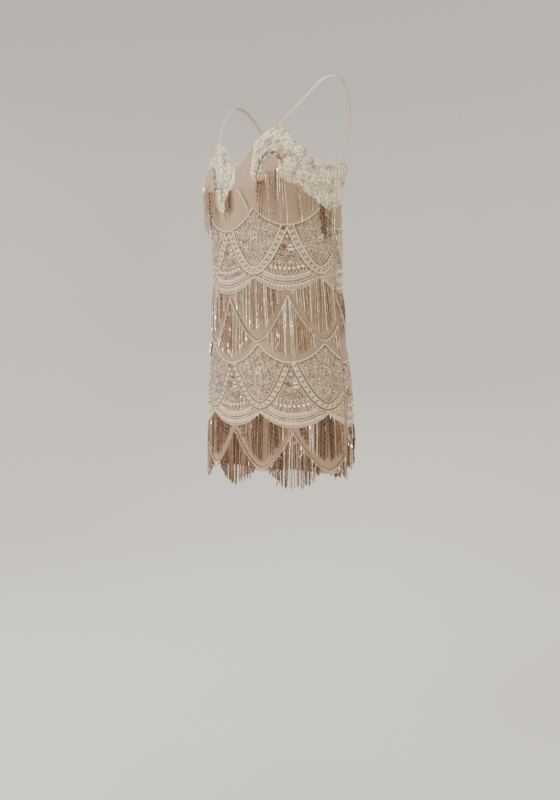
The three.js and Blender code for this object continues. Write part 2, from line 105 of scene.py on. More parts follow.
# Soft creases: s and z of the upper end, s and z of the lower end, width, depth
FRONT_CREASES = [
    (-6, -180, -10, -290, 9, -1.6),
    (26, -205, 40, -300, 10, 1.3),
    (-34, -208, -46, -296, 9, 1.2),
    (150, -205, 196, -320, 13, -1.8),
    (-152, -210, -194, -330, 12, -1.9),
    (168, -300, 120, -420, 16, 1.5),
    (-160, -330, -118, -430, 15, 1.4),
    (40, -400, 52, -540, 13, -1.5),
    (-78, -395, -92, -560, 15, -1.7),
    (112, -420, 134, -640, 14, 1.8),
    (-20, -470, -26, -735, 14, 1.6),
    (66, -600, 78, -744, 12, -1.9),
    (-128, -560, -140, -744, 15, 1.8),
    (172, -560, 182, -744, 12, -2.0),
    (-182, -600, -190, -744, 11, -1.8),
]
BACK_CREASES = [
    (0, -170, 4, -300, 12, -1.8),
    (60, -165, 44, -320, 13, 1.5),
    (-66, -168, -48, -310, 12, 1.4),
    (128, -180, 168, -330, 14, -2.0),
    (-124, -182, -170, -335, 14, -1.9),
    (24, -300, 30, -470, 13, -1.7),
    (-84, -330, -96, -520, 15, 1.7),
    (100, -380, 118, -600, 15, 1.8),
    (-30, -480, -36, -735, 14, -1.8),
    (60, -540, 70, -744, 13, 1.9),
    (-140, -560, -152, -744, 14, -1.8),
    (160, -600, 168, -744, 12, 1.9),
]

# Cups: middle, how far they stand out, their width and how fast they fade above and below
CUP_X = 84.0
CUP_Z = -208.0
CUP_HEIGHT = 15.0
CUP_WIDTH = 34.0
CUP_RISE = 46.0
CUP_FALL = 32.0
CUP_TURN = 0.3
CUP_FADE = 130.0
EDGE_INSET = 2.0

# Tiers of fans with U-shaped ladder bands between them, the depths from the tier's top down
REPEAT = 131.0
MOST_REPEATS = 3
SCALLOP_RISE = 35.0
BAND_LOW = 86.0
BAND_WIDTH = 13.0
BAND_POWER = 1.9
BAND_INSET = 5.0
FAN_LOW = 117.0
FAN_RISE = 26.0
FAN_POWER = 2.2
RIM_WIDTH = 12.0
RIM_END = 4.0
SWAG_START = 126.0
SWAG_POWER = 1.7
# Bare tulle between the tips under a rim and the swag below them
RIM_CLEAR = 18.0
# Tips under a swag: an arc within FAN_REACH of the fan's middle, and shorter strands at the back's sides
FAN_REACH = 46.0
FAN_TIP_RISE = 26.0
SIDE_TIP_RISE = 34.0
SIDE_START = 131.0
# Each tier: its top, the lowest of its swag and tips, and the tone, spacing and layers of its strands
TIERS = {
    "upper": {
        "top": -294.0, "swag": 209.0, "tip": 237.0, "swag_node": "upper_swag",
        "tone": 0.60, "silver": 0.20, "spacing": 1.25, "layers": 1, "outline": "pale",
    },
    "lower": {
        "top": -544.0, "swag": 196.0, "tip": 228.0, "swag_node": "hem_swag",
        "tone": 0.24, "silver": 0.06, "spacing": 1.00, "layers": 2, "outline": "dark",
    },
}
HEM_Z = -742.0
HEM_WAVE = 4.0

# Straps: places over the shoulder, then where each end is sewn inside the top edges
STRAP_PATH = [
    (106, -76, -60), (124, -36, -13), (130, -14, -1.5), (131, 0, 0.7),
    (130, 14, -1.8), (124, 38, -22), (108, 68, -76),
]
STRAP_FRONT_S = 85.0
STRAP_BACK_S = 86.0
STRAP_LAP = 12.0
STRAP_INSIDE = -3.1
# The straps face away from this point above SHOULDER_FALL, and square to the cloth lower down
SHOULDER_CORE = (60, -5, -150)
SHOULDER_FALL = -30.0

# Finishes of a strand's bugles and of the seed beads between them
FRINGE_BEADS = ("rose_gold_bugles", "champagne_seeds")

SEED = 20611


def to_linear(text):
    """A colour written as sRGB hex, as the linear values that shaders read"""
    parts = [int(text[k:k + 2], 16) / 255 for k in (1, 3, 5)]
    return tuple(c / 12.92 if c <= 0.04045 else ((c + 0.055) / 1.055) ** 2.4 for c in parts)


def read_table(keys, values, at):
    """Smooth values of a table at some places, keys rising"""
    at = np.clip(at, keys[0], keys[-1])
    k = np.clip(np.searchsorted(keys, at, side="left") - 1, 0, len(keys) - 2)
    order = np.arange(len(keys))
    before, after = np.maximum(order - 1, 0), np.minimum(order + 1, len(keys) - 1)
    slope = (values[after] - values[before]) / (keys[after] - keys[before])
    span = keys[k + 1] - keys[k]
    t = (at - keys[k]) / span
    return ((2 * t**3 - 3 * t**2 + 1) * values[k] + (t**3 - 2 * t**2 + t) * span * slope[k]
            + (3 * t**2 - 2 * t**3) * values[k + 1] + (t**3 - t**2) * span * slope[k + 1])


def smooth_step(x, low, high):
    """A share that rises smoothly from 0 at one value to 1 at another"""
    t = np.clip((x - low) / (high - low), 0, 1)
    return t * t * (3 - 2 * t)


class Panel:
    """The front or back of the dress, on which a place is s and z in mm"""

    def __init__(self, name, sign, half, depth, power, phase, edge, creases):
        self.name, self.sign, self.half, self.phase = name, sign, half, phase
        self.edge_table, self.creases = edge, creases
        angle = np.pi / 2 * np.linspace(0, 1, ARC_SAMPLES + 1) ** ARC_SPREAD
        across = np.sin(angle) ** (2 / power)
        ahead = np.clip(np.cos(angle), 0, 1) ** (2 / power)
        self.x, self.y = [], []
        for z in np.arange(LOWEST, HIGHEST + 1, ROW_STEP):
            x = read_table(SECTIONS[:, 0], SECTIONS[:, 1], z) * across
            y = read_table(SECTIONS[:, 0], SECTIONS[:, depth], z) * ahead
            length = np.concatenate([[0], np.cumsum(np.hypot(np.diff(x), np.diff(y)))])
            even = np.linspace(0, length[-1], GIRTH_SAMPLES)
            self.x.append(np.interp(even, length, x))
            self.y.append(np.interp(even, length, y))
        self.x, self.y = np.array(self.x), np.array(self.y)

    def edge(self, s):
        """Height of the top edge"""
        return read_table(self.edge_table[:, 0], self.edge_table[:, 1], np.abs(s))

    def hem(self, s):
        """Height of the hem, which waves a little with the fans"""
        return HEM_Z + HEM_WAVE * np.cos(2 * np.pi * (s - self.phase) / REPEAT)

    def body(self, s, z):
        """Points of the cloth's outer face, in mm"""
        row = (np.clip(z, LOWEST, HIGHEST) - LOWEST) / ROW_STEP
        i = np.clip(row.astype(int), 0, len(self.x) - 2)
        t = row - i
        column = np.clip(np.abs(s) / self.half, 0, 1) * (GIRTH_SAMPLES - 1)
        j = np.clip(column.astype(int), 0, GIRTH_SAMPLES - 2)
        u = column - j
        x, y = [(grid[i, j] * (1 - u) + grid[i, j + 1] * u) * (1 - t)
                + (grid[i + 1, j] * (1 - u) + grid[i + 1, j + 1] * u) * t
                for grid in (self.x, self.y)]
        if self.sign > 0:
            far = (z - CUP_Z) / np.where(z > CUP_Z, CUP_RISE, CUP_FALL)
            fade = 1 - smooth_step(np.abs(s), CUP_FADE, self.half - 2 * EDGE_INSET)
            bulge = CUP_HEIGHT * fade * np.exp(-(((x - CUP_X) / CUP_WIDTH) ** 2 + far**2) / 2)
            x, y = x + bulge * CUP_TURN, y + bulge
        return np.stack([np.sign(s) * x, AXIS_Y - self.sign * y, z], axis=-1)

    def out(self, s, z):
        """The direction square to the cloth, away from the body"""
        at = np.clip(s, SLOPE_STEP - self.half, self.half - SLOPE_STEP)
        along = self.body(at + SLOPE_STEP, z) - self.body(at - SLOPE_STEP, z)
        up = self.body(at, z + SLOPE_STEP) - self.body(at, z - SLOPE_STEP)
        square = np.cross(along, up) * self.sign
        return square / np.linalg.norm(square, axis=-1, keepdims=True)

    def crease(self, s, z):
        """How far the soft creases lift the cloth"""
        total = np.zeros_like(s)
        for s0, z0, s1, z1, width, depth in self.creases:
            t = np.clip((z0 - z) / (z0 - z1), 0, 1)
            middle = s0 + (s1 - s0) * t
            total += depth * np.exp(-((s - middle) / width) ** 2) * np.sin(np.pi * t)
        return total

    def lay(self, s, z, lift):
        """Points a distance off the cloth, in metres"""
        s, z, lift = np.broadcast_arrays(*(np.asarray(a, float) for a in (s, z, lift)))
        off = (lift + self.crease(s, z))[..., None] * self.out(s, z)
        return (self.body(s, z) + off) * MM


FRONT = Panel("front", 1, 212.0, 2, 2.3, -24.0, NECK, FRONT_CREASES)
BACK = Panel("back", -1, 196.0, 3, 2.05, REPEAT / 2, BACK_EDGE, BACK_CREASES)


def centres(panel, shift):
    """Middles of the fans (shift 0) or of the ladder bands (shift 0.5)"""
    every = panel.phase + (np.arange(-MOST_REPEATS, MOST_REPEATS + 1) + shift) * REPEAT
    return [s for s in every if abs(s) < panel.half + REPEAT / 2]


def from_fan(panel, s):
    """Distance from the nearest fan's middle"""
    turns = (s - panel.phase) / REPEAT
    return np.abs(turns - np.round(turns)) * REPEAT


def scallop_z(panel, top, s):
    """Upper line of a tier, with its points between the fans"""
    return top + SCALLOP_RISE * (2 * from_fan(panel, s) / REPEAT) ** 2


def rim_z(panel, top, s):
    """Lower line of the fans"""
    return top - FAN_LOW + FAN_RISE * (2 * from_fan(panel, s) / REPEAT) ** FAN_POWER


def swag_z(panel, top, low, s):
    """The swag: lowest between the fans and peaked under each fan's middle"""
    share = np.abs(1 - 2 * from_fan(panel, s) / REPEAT) ** SWAG_POWER
    return top - low + (low - SWAG_START) * share


def band_z(top, from_middle):
    """Middle line of a U-shaped band"""
    lift = BAND_WIDTH / 2
    share = np.abs(from_middle / (REPEAT / 2 - BAND_INSET)) ** BAND_POWER
    return top - BAND_LOW + lift + (BAND_LOW - lift - 1) * share


def lace_low(s):
    """Lower edge of a cup's lace"""
    return read_table(LACE_EDGE[:, 0], LACE_EDGE[:, 1], np.abs(s))


def line_of(height, start, end, step=1.5):
    """A dense line of places (s, z) from a height function"""
    s = np.linspace(start, end, max(int(abs(end - start) / step), 2) + 1)
    return np.column_stack([s, height(s)])


def clip_line(line, panel, inset=EDGE_INSET):
    """The part of a line that lies on the panel"""
    return line[np.abs(line[:, 0]) <= panel.half - inset]


def headings(line):
    """Unit directions along a line"""
    way = np.gradient(line, axis=0)
    return way / np.linalg.norm(way, axis=1, keepdims=True)


def beside(line, distance):
    """The line moved sideways, upward for a line that runs to the right"""
    way = headings(line)
    return line + distance * np.column_stack([-way[:, 1], way[:, 0]])


def spaced(line, pitch, start=0.5):
    """Places every pitch along a line, with the line's angle at each"""
    length = np.concatenate([[0], np.cumsum(np.linalg.norm(np.diff(line, axis=0), axis=1))])
    count = max(int(length[-1] / pitch), 1)
    at = (np.arange(count) + start) * length[-1] / count
    way = headings(line)
    places = np.column_stack([np.interp(at, length, line[:, k]) for k in (0, 1)])
    angle = np.arctan2(np.interp(at, length, way[:, 1]), np.interp(at, length, way[:, 0]))
    return places, angle


# Small shapes that are repeated, each one unit across
def form_of(build, smooth):
    """Points and faces of a small shape, of which all faces, the upper ones or none are smooth"""
    bm = bmesh.new()
    build(bm)
    bmesh.ops.recalc_face_normals(bm, faces=bm.faces)
    bm.normal_update()
    bm.verts.index_update()
    faces = [[v.index for v in face.verts] for face in bm.faces]
    points = np.array([v.co for v in bm.verts])
    # A face is smooth where its normal's height is over this
    least = {"all": -2.0, "top": 0.1, "none": 2.0}[smooth]
    flags = np.array([face.normal.z > least for face in bm.faces])
    bm.free()
    starts = np.cumsum([0] + [len(face) for face in faces[:-1]])
    return {"points": points, "loops": np.concatenate(faces), "starts": starts, "smooth": flags}


def build_petal(bm):
    """A round petal, wider outward, with a raised cord round it"""
    made = bmesh.ops.create_circle(bm, cap_ends=True, segments=8, radius=0.5)
    face = made["verts"][0].link_faces[0]
    for v in made["verts"]:
        v.co.y *= 0.62 + 0.5 * (v.co.x + 0.5)
    bmesh.ops.inset_region(bm, faces=[face], thickness=0.1, depth=0.5)
    bmesh.ops.inset_region(bm, faces=[face], thickness=0.08, depth=-0.1)
    bmesh.ops.poke(bm, faces=[face], offset=0.12)
    bmesh.ops.holes_fill(bm, edges=[e for e in bm.edges if e.is_boundary])


def build_leaf(bm):
    """A pointed leaf, padded, with a flat underside"""
    made = bmesh.ops.create_circle(bm, cap_ends=True, segments=8, radius=0.5)
    face = made["verts"][0].link_faces[0]
    for v in made["verts"]:
        v.co.y *= 1.15 - 2.2 * v.co.x ** 2
    bmesh.ops.inset_region(bm, faces=[face], thickness=0.13, depth=0.7)
    bmesh.ops.poke(bm, faces=[face], offset=0.2)
    bmesh.ops.holes_fill(bm, edges=[e for e in bm.edges if e.is_boundary])


def build_chip(bm):
    """A cut bead with eight flat faces"""
    bmesh.ops.create_uvsphere(bm, u_segments=4, v_segments=2, radius=0.5)


def build_seed(bm):
    """A small round bead"""
    bmesh.ops.create_icosphere(bm, subdivisions=1, radius=0.5)


def build_pearl(bm):
    """A large round bead"""
    bmesh.ops.create_icosphere(bm, subdivisions=2, radius=0.5)


def build_bugle(bm):
    """A six-sided tube bead, along z"""
    bmesh.ops.create_cone(bm, cap_ends=True, segments=6, radius1=0.5, radius2=0.5, depth=1)


FORMS = {
    "chip": form_of(build_chip, "none"),
    "seed": form_of(build_seed, "all"),
    "pearl": form_of(build_pearl, "all"),
    "bugle": form_of(build_bugle, "none"),
    "petal": form_of(build_petal, "top"),
    "leaf": form_of(build_leaf, "top"),
}


class Heap:
    """Many copies of small shapes, gathered as arrays and joined in one mesh"""

    def __init__(self):
        self.parts = []

    def lay(self, panel, form, places, size, lift, angle=0.0, tone=0.5, material=0):
        """Copies on a panel: size is (length, width, height) in mm"""
        places = np.asarray(places, float).reshape(-1, 2)
        if not len(places):
            return
        local = FORMS[form]["points"][None] * np.broadcast_to(size, (len(places), 3))[:, None]
        local[..., 0] *= panel.sign
        angle = np.broadcast_to(angle, len(places))[:, None]
        s = places[:, :1] + local[..., 0] * np.cos(angle) - local[..., 1] * np.sin(angle)
        z = places[:, 1:] + local[..., 0] * np.sin(angle) + local[..., 1] * np.cos(angle)
        lift = np.broadcast_to(lift, len(places))[:, None] + local[..., 2]
        self.add(form, panel.lay(s, z, lift), tone, material)

    def thread(self, form, start, end, width, spin, tone, material=0):
        """Copies that reach from one point to another, both in metres"""
        axis = end - start
        length = np.linalg.norm(axis, axis=1, keepdims=True)
        axis = axis / length
        one = np.cross(axis, (0.0, 1.0, 0.0))
        one /= np.linalg.norm(one, axis=1, keepdims=True)
        two = np.cross(axis, one)
        shape = FORMS[form]["points"]
        turn = np.broadcast_to(spin, len(start))[:, None]
        across = (shape[None, :, 0] * np.cos(turn) - shape[None, :, 1] * np.sin(turn)) * width
        ahead = (shape[None, :, 0] * np.sin(turn) + shape[None, :, 1] * np.cos(turn)) * width
        points = ((start + end)[:, None] / 2
                  + across[..., None] * one[:, None]
                  + ahead[..., None] * two[:, None]
                  + (shape[None, :, 2] * length)[..., None] * axis[:, None])
        self.add(form, points, tone, material)

    def add(self, form, points, tone, material):
        self.parts.append((FORMS[form], points, np.broadcast_to(tone, len(points)), material))

    def mesh(self, name):
        loops, starts, slots, smooth = [], [], [], []
        vertex_base = loop_base = 0
        for form, points, _, material in self.parts:
            copies, size = points.shape[:2]
            order = np.arange(copies)[:, None]
            loops.append((form["loops"][None] + size * order).ravel() + vertex_base)
            starts.append((form["starts"][None] + len(form["loops"]) * order).ravel() + loop_base)
            slots.append(np.full(copies * len(form["starts"]), material))
            smooth.append(np.tile(form["smooth"], copies))
            vertex_base += copies * size
            loop_base += copies * len(form["loops"])
        mesh = bpy.data.meshes.new(name)
        mesh.vertices.add(vertex_base)
        mesh.loops.add(loop_base)
        mesh.polygons.add(sum(len(s) for s in starts))
        points = np.concatenate([p.reshape(-1, 3) for _, p, _, _ in self.parts])
        mesh.vertices.foreach_set("co", points.astype(np.float32).ravel())
        mesh.loops.foreach_set("vertex_index", np.concatenate(loops).astype(np.int32))
        mesh.polygons.foreach_set("loop_start", np.concatenate(starts).astype(np.int32))
        mesh.polygons.foreach_set("material_index", np.concatenate(slots).astype(np.int32))
        mesh.polygons.foreach_set("use_smooth", np.concatenate(smooth))
        tones = np.concatenate([np.repeat(t, p.shape[1]) for _, p, t, _ in self.parts])
        mesh.attributes.new("tone", "FLOAT", "POINT").data.foreach_set("value", tones.astype(np.float32))
        mesh.update(calc_edges=True)
        return mesh

    def piece(self, name, slot, finishes, stands_for=()):
        return piece(name, self.mesh(name), finishes, stands_for)


def ribbon(bm, line, width, crown, segments=2, thin=None):
    """Adds a ribbon, flat on the table, along a line of places, a little higher along its middle"""
    last = len(line) - 1
    columns = np.column_stack([line, headings(line)]).T
    made = bmesh.ops.create_grid(bm, x_segments=last, y_segments=segments, size=0.5)
    order = np.arange(len(line))
    for v in made["verts"]:
        k, across = (v.co.x + 0.5) * last, v.co.y
        s, z, along_s, along_z = [np.interp(k, order, column) for column in columns]
        reach = across * width * (thin(k / last) if thin else 1)
        v.co = (s - along_z * reach, z + along_s * reach, crown * (1 - (2 * across) ** 2))


def from_flat(bm, name, panel, lift, thickness):
    """Closes a flat piece below, lays it on a panel and keeps its flat places as a UV map, in metres"""
    made = bmesh.ops.extrude_face_region(bm, geom=bm.faces[:])
    for v in made["geom"]:
        if isinstance(v, bmesh.types.BMVert):
            v.co.z -= thickness
    bmesh.ops.recalc_face_normals(bm, faces=bm.faces)
    mesh = bpy.data.meshes.new(name)
    bm.to_mesh(mesh)
    bm.free()
    flat = np.empty(len(mesh.vertices) * 3, np.float32)
    mesh.vertices.foreach_get("co", flat)
    flat = flat.reshape(-1, 3).astype(float)
    corners = np.empty(len(mesh.loops), np.int32)
    mesh.loops.foreach_get("vertex_index", corners)
    uv = mesh.uv_layers.new(name="flat")
    uv.data.foreach_set("uv", (flat[corners, :2] * MM).astype(np.float32).ravel())
    placed = panel.lay(flat[:, 0], flat[:, 1], flat[:, 2] + lift + thickness)
    mesh.vertices.foreach_set("co", placed.astype(np.float32).ravel())
    if panel.sign < 0:
        mesh.flip_normals()
    mesh.shade_smooth()
    mesh.update()
    return mesh


def cords(name, lines):
    """Round threads along lines of points, each with its radius, in metres, as one mesh"""
    curve = bpy.data.curves.new(name, "CURVE")
    curve.dimensions = "3D"
    curve.bevel_depth = 1.0
    curve.bevel_resolution = 1
    curve.use_fill_caps = True
    for line, radius in lines:
        points = curve.splines.new("POLY").points
        points.add(len(line) - 1)
        points.foreach_set("co", np.column_stack([line, np.ones(len(line))]).astype(np.float32).ravel())
        points.foreach_set("radius", np.full(len(line), radius, np.float32))
    holder = bpy.data.objects.new(name, curve)
    bpy.context.scene.collection.objects.link(holder)
    mesh = bpy.data.meshes.new_from_object(holder.evaluated_get(bpy.context.evaluated_depsgraph_get()))
    bpy.data.objects.remove(holder)
    bpy.data.curves.remove(curve)
    mesh.name = name
    mesh.shade_smooth()
    return mesh


def piece(name, mesh, finishes, stands_for=()):
    """Makes a mesh a piece of the dress, with its named finishes"""
    made = bpy.data.objects.new(name, mesh)
    bpy.context.scene.collection.objects.link(made)
    for finish in finishes:
        mesh.materials.append(finish_of(finish))
    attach(made, "root")
    if stands_for:
        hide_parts(*stands_for)
    return made


def add_node(tree, kind, values=None, links=None, stops=None, **settings):
    """Adds a shader node with its settings, fixed inputs, links and colour stops"""
    made = tree.nodes.new(kind)
    for key, value in settings.items():
        setattr(made, key, value)
    for key, value in (values or {}).items():
        made.inputs[key].default_value = value
    for key, source in (links or {}).items():
        tree.links.new(source, made.inputs[key])
    if stops:
        ramp = made.color_ramp.elements
        while len(ramp) < len(stops):
            ramp.new(0.5)
        for element, (at, shade) in zip(ramp, stops):
            element.position = at
            element.color = (*shade, 1)
    return made


def times(shade, factor):
    """A lighter or darker version of a colour"""
    return tuple(min(c * factor, 1) for c in shade)


def paint(tree, shader, colour, bump=None):
    """Links a colour and a bump to the shader"""
    tree.links.new(colour, shader.inputs["Base Color"])
    if bump:
        tree.links.new(bump, shader.inputs["Normal"])


def set_inputs(shader, **values):
    """Sets inputs that are the same all over"""
    for key, value in values.items():
        shader.inputs[key.replace("_", " ")].default_value = value


def nude_tulle(tree, shader, shades):
    """Nylon tulle over a crepe lining: a fine even net with a soft matt glow through it"""
    set_inputs(shader, Roughness=0.72, Sheen_Weight=0.15, Sheen_Roughness=0.5, Specular_IOR_Level=0.3)
    flat = add_node(tree, "ShaderNodeUVMap", uv_map="flat")
    # Net holes of 1.3 mm, drawn at 2.2 mm so that they show
    net = add_node(tree, "ShaderNodeTexVoronoi", {"Scale": 1 / 0.0022, "Randomness": 0.25},
                   {"Vector": flat.outputs[0]}, feature="DISTANCE_TO_EDGE")
    thread = add_node(tree, "ShaderNodeMath", {1: 3.2}, {0: net.outputs["Distance"]},
                      operation="MULTIPLY", use_clamp=True)
    # Soft patches of 45 mm, where the cloth lies closer to its lining
    cloud = add_node(tree, "ShaderNodeTexNoise", {"Scale": 22.0, "Detail": 3.0}, {"Vector": flat.outputs[0]})
    tint = add_node(tree, "ShaderNodeValToRGB", links={0: cloud.outputs["Fac"]}, stops=[
        (0.3, times(shades.tulle, 0.82)), (0.55, shades.tulle), (0.75, times(shades.tulle, 1.14))])
    mixed = add_node(tree, "ShaderNodeMix", {6: (*times(shades.tulle, 0.74), 1)},
                     {0: thread.outputs[0], 7: tint.outputs[0]}, data_type="RGBA")
    bump = add_node(tree, "ShaderNodeBump", {"Strength": 0.25, "Distance": 0.0004},
                    {"Height": thread.outputs[0]})
    paint(tree, shader, mixed.outputs[2], bump.outputs[0])


def strap_satin(tree, shader, shades):
    """Satin ribbon: smooth with long floats, so its gloss is soft and broad"""
    set_inputs(shader, Roughness=0.38, Sheen_Weight=0.15, Anisotropic=0.4)
    flat = add_node(tree, "ShaderNodeUVMap", uv_map="flat")
    # Ribs across the ribbon, drawn 2.2 mm apart so that they show: a wave repeats at 2 pi / 20 of its scale
    rib = add_node(tree, "ShaderNodeTexWave", {"Scale": 1 / (0.00035 * 20), "Distortion": 0.6},
                   {"Vector": flat.outputs[0]}, bands_direction="X")
    # The tint is darker in the grooves between the ribs, where the bump is low: painted shade
    tint = add_node(tree, "ShaderNodeValToRGB", links={0: rib.outputs["Fac"]},
                    stops=[(0.1, times(shades.satin, 0.72)), (0.8, shades.satin)])
    bump = add_node(tree, "ShaderNodeBump", {"Strength": 0.3, "Distance": 0.0002},
                    {"Height": rib.outputs["Fac"]})
    paint(tree, shader, tint.outputs[0], bump.outputs[0])


def rayon_thread(tree, shader, shade, roughness):
    """Rayon cord and stitched thread, twisted and softly lustrous: painted highlight where the strands stand
    up, painted shade between them
    """
    set_inputs(shader, Roughness=roughness, Sheen_Weight=0.2)
    place = add_node(tree, "ShaderNodeTexCoord").outputs["Object"]
    # Strands of 0.8 mm and patches of 12 mm; the tint is lighter where the strand bump is high, a painted
    # highlight, and darker where it is low, a painted shade
    strand = add_node(tree, "ShaderNodeTexNoise", {"Scale": 1 / 0.0008, "Detail": 2.0}, {"Vector": place})
    patch = add_node(tree, "ShaderNodeTexNoise", {"Scale": 1 / 0.012, "Detail": 2.0}, {"Vector": place})
    both = add_node(tree, "ShaderNodeMath", links={0: strand.outputs["Fac"], 1: patch.outputs["Fac"]})
    half = add_node(tree, "ShaderNodeMath", {1: 0.5}, {0: both.outputs[0]}, operation="MULTIPLY")
    tint = add_node(tree, "ShaderNodeValToRGB", links={0: half.outputs[0]},
                    stops=[(0.36, times(shade, 0.78)), (0.5, shade), (0.66, times(shade, 1.12))])
    bump = add_node(tree, "ShaderNodeBump", {"Strength": 0.4, "Distance": 0.0004},
                    {"Height": strand.outputs["Fac"]})
    paint(tree, shader, tint.outputs[0], bump.outputs[0])


def lace_cord(tree, shader, shades):
    """Matt cotton cord of the lace, cream, with khaki patches of painted shade and paler patches of painted
    highlight
    """
    set_inputs(shader, Roughness=0.75, Sheen_Weight=0.2)
    place = add_node(tree, "ShaderNodeTexCoord").outputs["Object"]
    # Patches of 24 mm of painted shade and painted highlight, strands of 0.8 mm
    patch = add_node(tree, "ShaderNodeTexNoise", {"Scale": 1 / 0.024, "Detail": 3.0, "Distortion": 0.8},
                     {"Vector": place})
    strand = add_node(tree, "ShaderNodeTexNoise", {"Scale": 1 / 0.0008, "Detail": 2.0}, {"Vector": place})
    tint = add_node(tree, "ShaderNodeValToRGB", links={0: patch.outputs["Fac"]}, stops=[
        (0.36, times(shades.lace_ground, 0.72)),
        (0.47, times(shades.lace, 0.8)),
        (0.58, times(shades.lace, 1.1)),
    ])
    bump = add_node(tree, "ShaderNodeBump", {"Strength": 0.4, "Distance": 0.0004},
                    {"Height": strand.outputs["Fac"]})
    paint(tree, shader, tint.outputs[0], bump.outputs[0])


def lace_net(tree, shader, shades):
    """The lace's tulle ground, worked all over with fine couched cord that shows as a pale maze"""
    set_inputs(shader, Roughness=0.78, Sheen_Weight=0.2)
    place = add_node(tree, "ShaderNodeTexCoord").outputs["Object"]
    # The loops wander by up to 12 mm, in bends of 20 mm
    bend = add_node(tree, "ShaderNodeTexNoise", {"Scale": 1 / 0.02, "Detail": 1.0}, {"Vector": place})
    shifted = add_node(tree, "ShaderNodeVectorMath", {1: (0.012, 0.012, 0.012)}, {0: bend.outputs["Color"]},
                       operation="MULTIPLY")
    moved = add_node(tree, "ShaderNodeVectorMath", links={0: place, 1: shifted.outputs[0]})
    # Cord loops 7 mm apart
    loops = add_node(tree, "ShaderNodeTexVoronoi", {"Scale": 1 / 0.007}, {"Vector": moved.outputs[0]},
                     feature="DISTANCE_TO_EDGE")
    cord = add_node(tree, "ShaderNodeValToRGB", links={0: loops.outputs["Distance"]}, stops=[
        (0.0, shades.lace), (0.12, times(shades.lace, 0.95)), (0.3, shades.lace_ground)])
    rise = add_node(tree, "ShaderNodeMapRange", {1: 0.04, 2: 0.2, 3: 1.0, 4: 0.0},
                    {0: loops.outputs["Distance"]})
    bump = add_node(tree, "ShaderNodeBump", {"Strength": 0.5, "Distance": 0.0007},
                    {"Height": rise.outputs[0]})
    paint(tree, shader, cord.outputs[0], bump.outputs[0])


def bead_ground(tree, shader, shades):
    """Tulle stitched over with thread and seed beads, too many to tell apart, so it shows mottled"""
    set_inputs(shader, Roughness=0.5, Sheen_Weight=0.1)
    flat = add_node(tree, "ShaderNodeUVMap", uv_map="flat").outputs[0]
    # Beads of 2.1 mm in patches of 9 mm, with warmer and cooler stretches of 30 mm
    beads = add_node(tree, "ShaderNodeTexVoronoi", {"Scale": 1 / 0.0021, "Randomness": 0.8}, {"Vector": flat})
    patch = add_node(tree, "ShaderNodeTexNoise", {"Scale": 1 / 0.009, "Detail": 3.0}, {"Vector": flat})
    wide = add_node(tree, "ShaderNodeTexNoise", {"Scale": 1 / 0.03, "Detail": 1.0}, {"Vector": flat})
    grain = add_node(tree, "ShaderNodeSeparateColor", links={0: beads.outputs["Color"]})
    both = add_node(tree, "ShaderNodeMath", {2: 0.2}, {0: grain.outputs[0], 1: patch.outputs["Fac"]},
                    operation="MULTIPLY_ADD")
    tint = add_node(tree, "ShaderNodeValToRGB", links={0: both.outputs[0]}, stops=[
        (0.2, times(shades.ground, 0.55)),
        (0.42, times(shades.ground, 0.92)),
        (0.62, times(shades.ground, 1.1)),
        (0.8, times(shades.thread, 1.3)),
    ])
    warm = add_node(tree, "ShaderNodeValToRGB", links={0: wide.outputs["Fac"]}, stops=[
        (0.36, (0.86, 0.8, 0.7)), (0.5, (1.0, 1.0, 1.0)), (0.64, (1.12, 1.02, 0.98))])
    mixed = add_node(tree, "ShaderNodeMix", {0: 1.0}, {6: tint.outputs[0], 7: warm.outputs[0]},
                     data_type="RGBA", blend_type="MULTIPLY")
    dome = add_node(tree, "ShaderNodeMath", {0: 1.0}, {1: beads.outputs["Distance"]}, operation="SUBTRACT")
    bump = add_node(tree, "ShaderNodeBump", {"Strength": 0.45, "Distance": 0.0008},
                    {"Height": dome.outputs[0]})
    paint(tree, shader, mixed.outputs[2], bump.outputs[0])


def glass_beads(tree, shader, stops, metallic, roughness):
    """Pressed glass under a clear coat, each bead of its own tone; a bright lining shows as part metal"""
    set_inputs(shader, Metallic=metallic, Roughness=roughness, Coat_Weight=0.6, Coat_Roughness=0.08)
    tone = add_node(tree, "ShaderNodeAttribute", attribute_name="tone", attribute_type="GEOMETRY")
    tint = add_node(tree, "ShaderNodeValToRGB", links={0: tone.outputs["Fac"]}, stops=stops)
    paint(tree, shader, tint.outputs[0])


def rose_gold_bugles(tree, shader, shades):
    """Cut glass tubes lined with rose gold: sharp glints, and a few silver-lined ones at the top tones"""
    glass_beads(tree, shader, [
        (0.0, times(shades.bugle_dark, 0.6)), (0.2, shades.bugle_dark), (0.5, shades.bugle),
        (0.75, shades.bugle_light), (0.9, times(shades.silver, 0.82)), (1.0, shades.silver),
    ], metallic=0.42, roughness=0.16)


def champagne_seeds(tree, shader, shades):
    """Small glass beads lined with champagne, less bright than the bugles because they are round"""
    glass_beads(tree, shader, [
        (0.0, shades.seed_dark), (0.35, times(shades.seed, 0.7)), (0.65, shades.seed), (1.0, shades.silver),
    ], metallic=0.25, roughness=0.18)


def bead_pearls(tree, shader, shades):
    """Glass beads dipped in pearl coat: a thin film of 380 nm gives them a faint play of colour"""
    glass_beads(tree, shader, [
        (0.0, times(shades.pearl, 0.5)), (0.5, times(shades.pearl, 0.85)), (1.0, shades.pearl),
    ], metallic=0.0, roughness=0.2)
    set_inputs(shader, Thin_Film_Thickness=380.0, Thin_Film_IOR=1.45)


def upper_thread(tree, shader, shades):
    """Stitching of the upper tier, a little darker"""
    rayon_thread(tree, shader, times(shades.thread, 0.8), roughness=0.5)


def lower_thread(tree, shader, shades):
    """Stitching of the lower tier"""
    rayon_thread(tree, shader, shades.thread, roughness=0.5)


def pale_cord(tree, shader, shades):
    """Bleached cord, wound tighter, so a little glossier"""
    rayon_thread(tree, shader, times(shades.thread, 1.4), roughness=0.42)


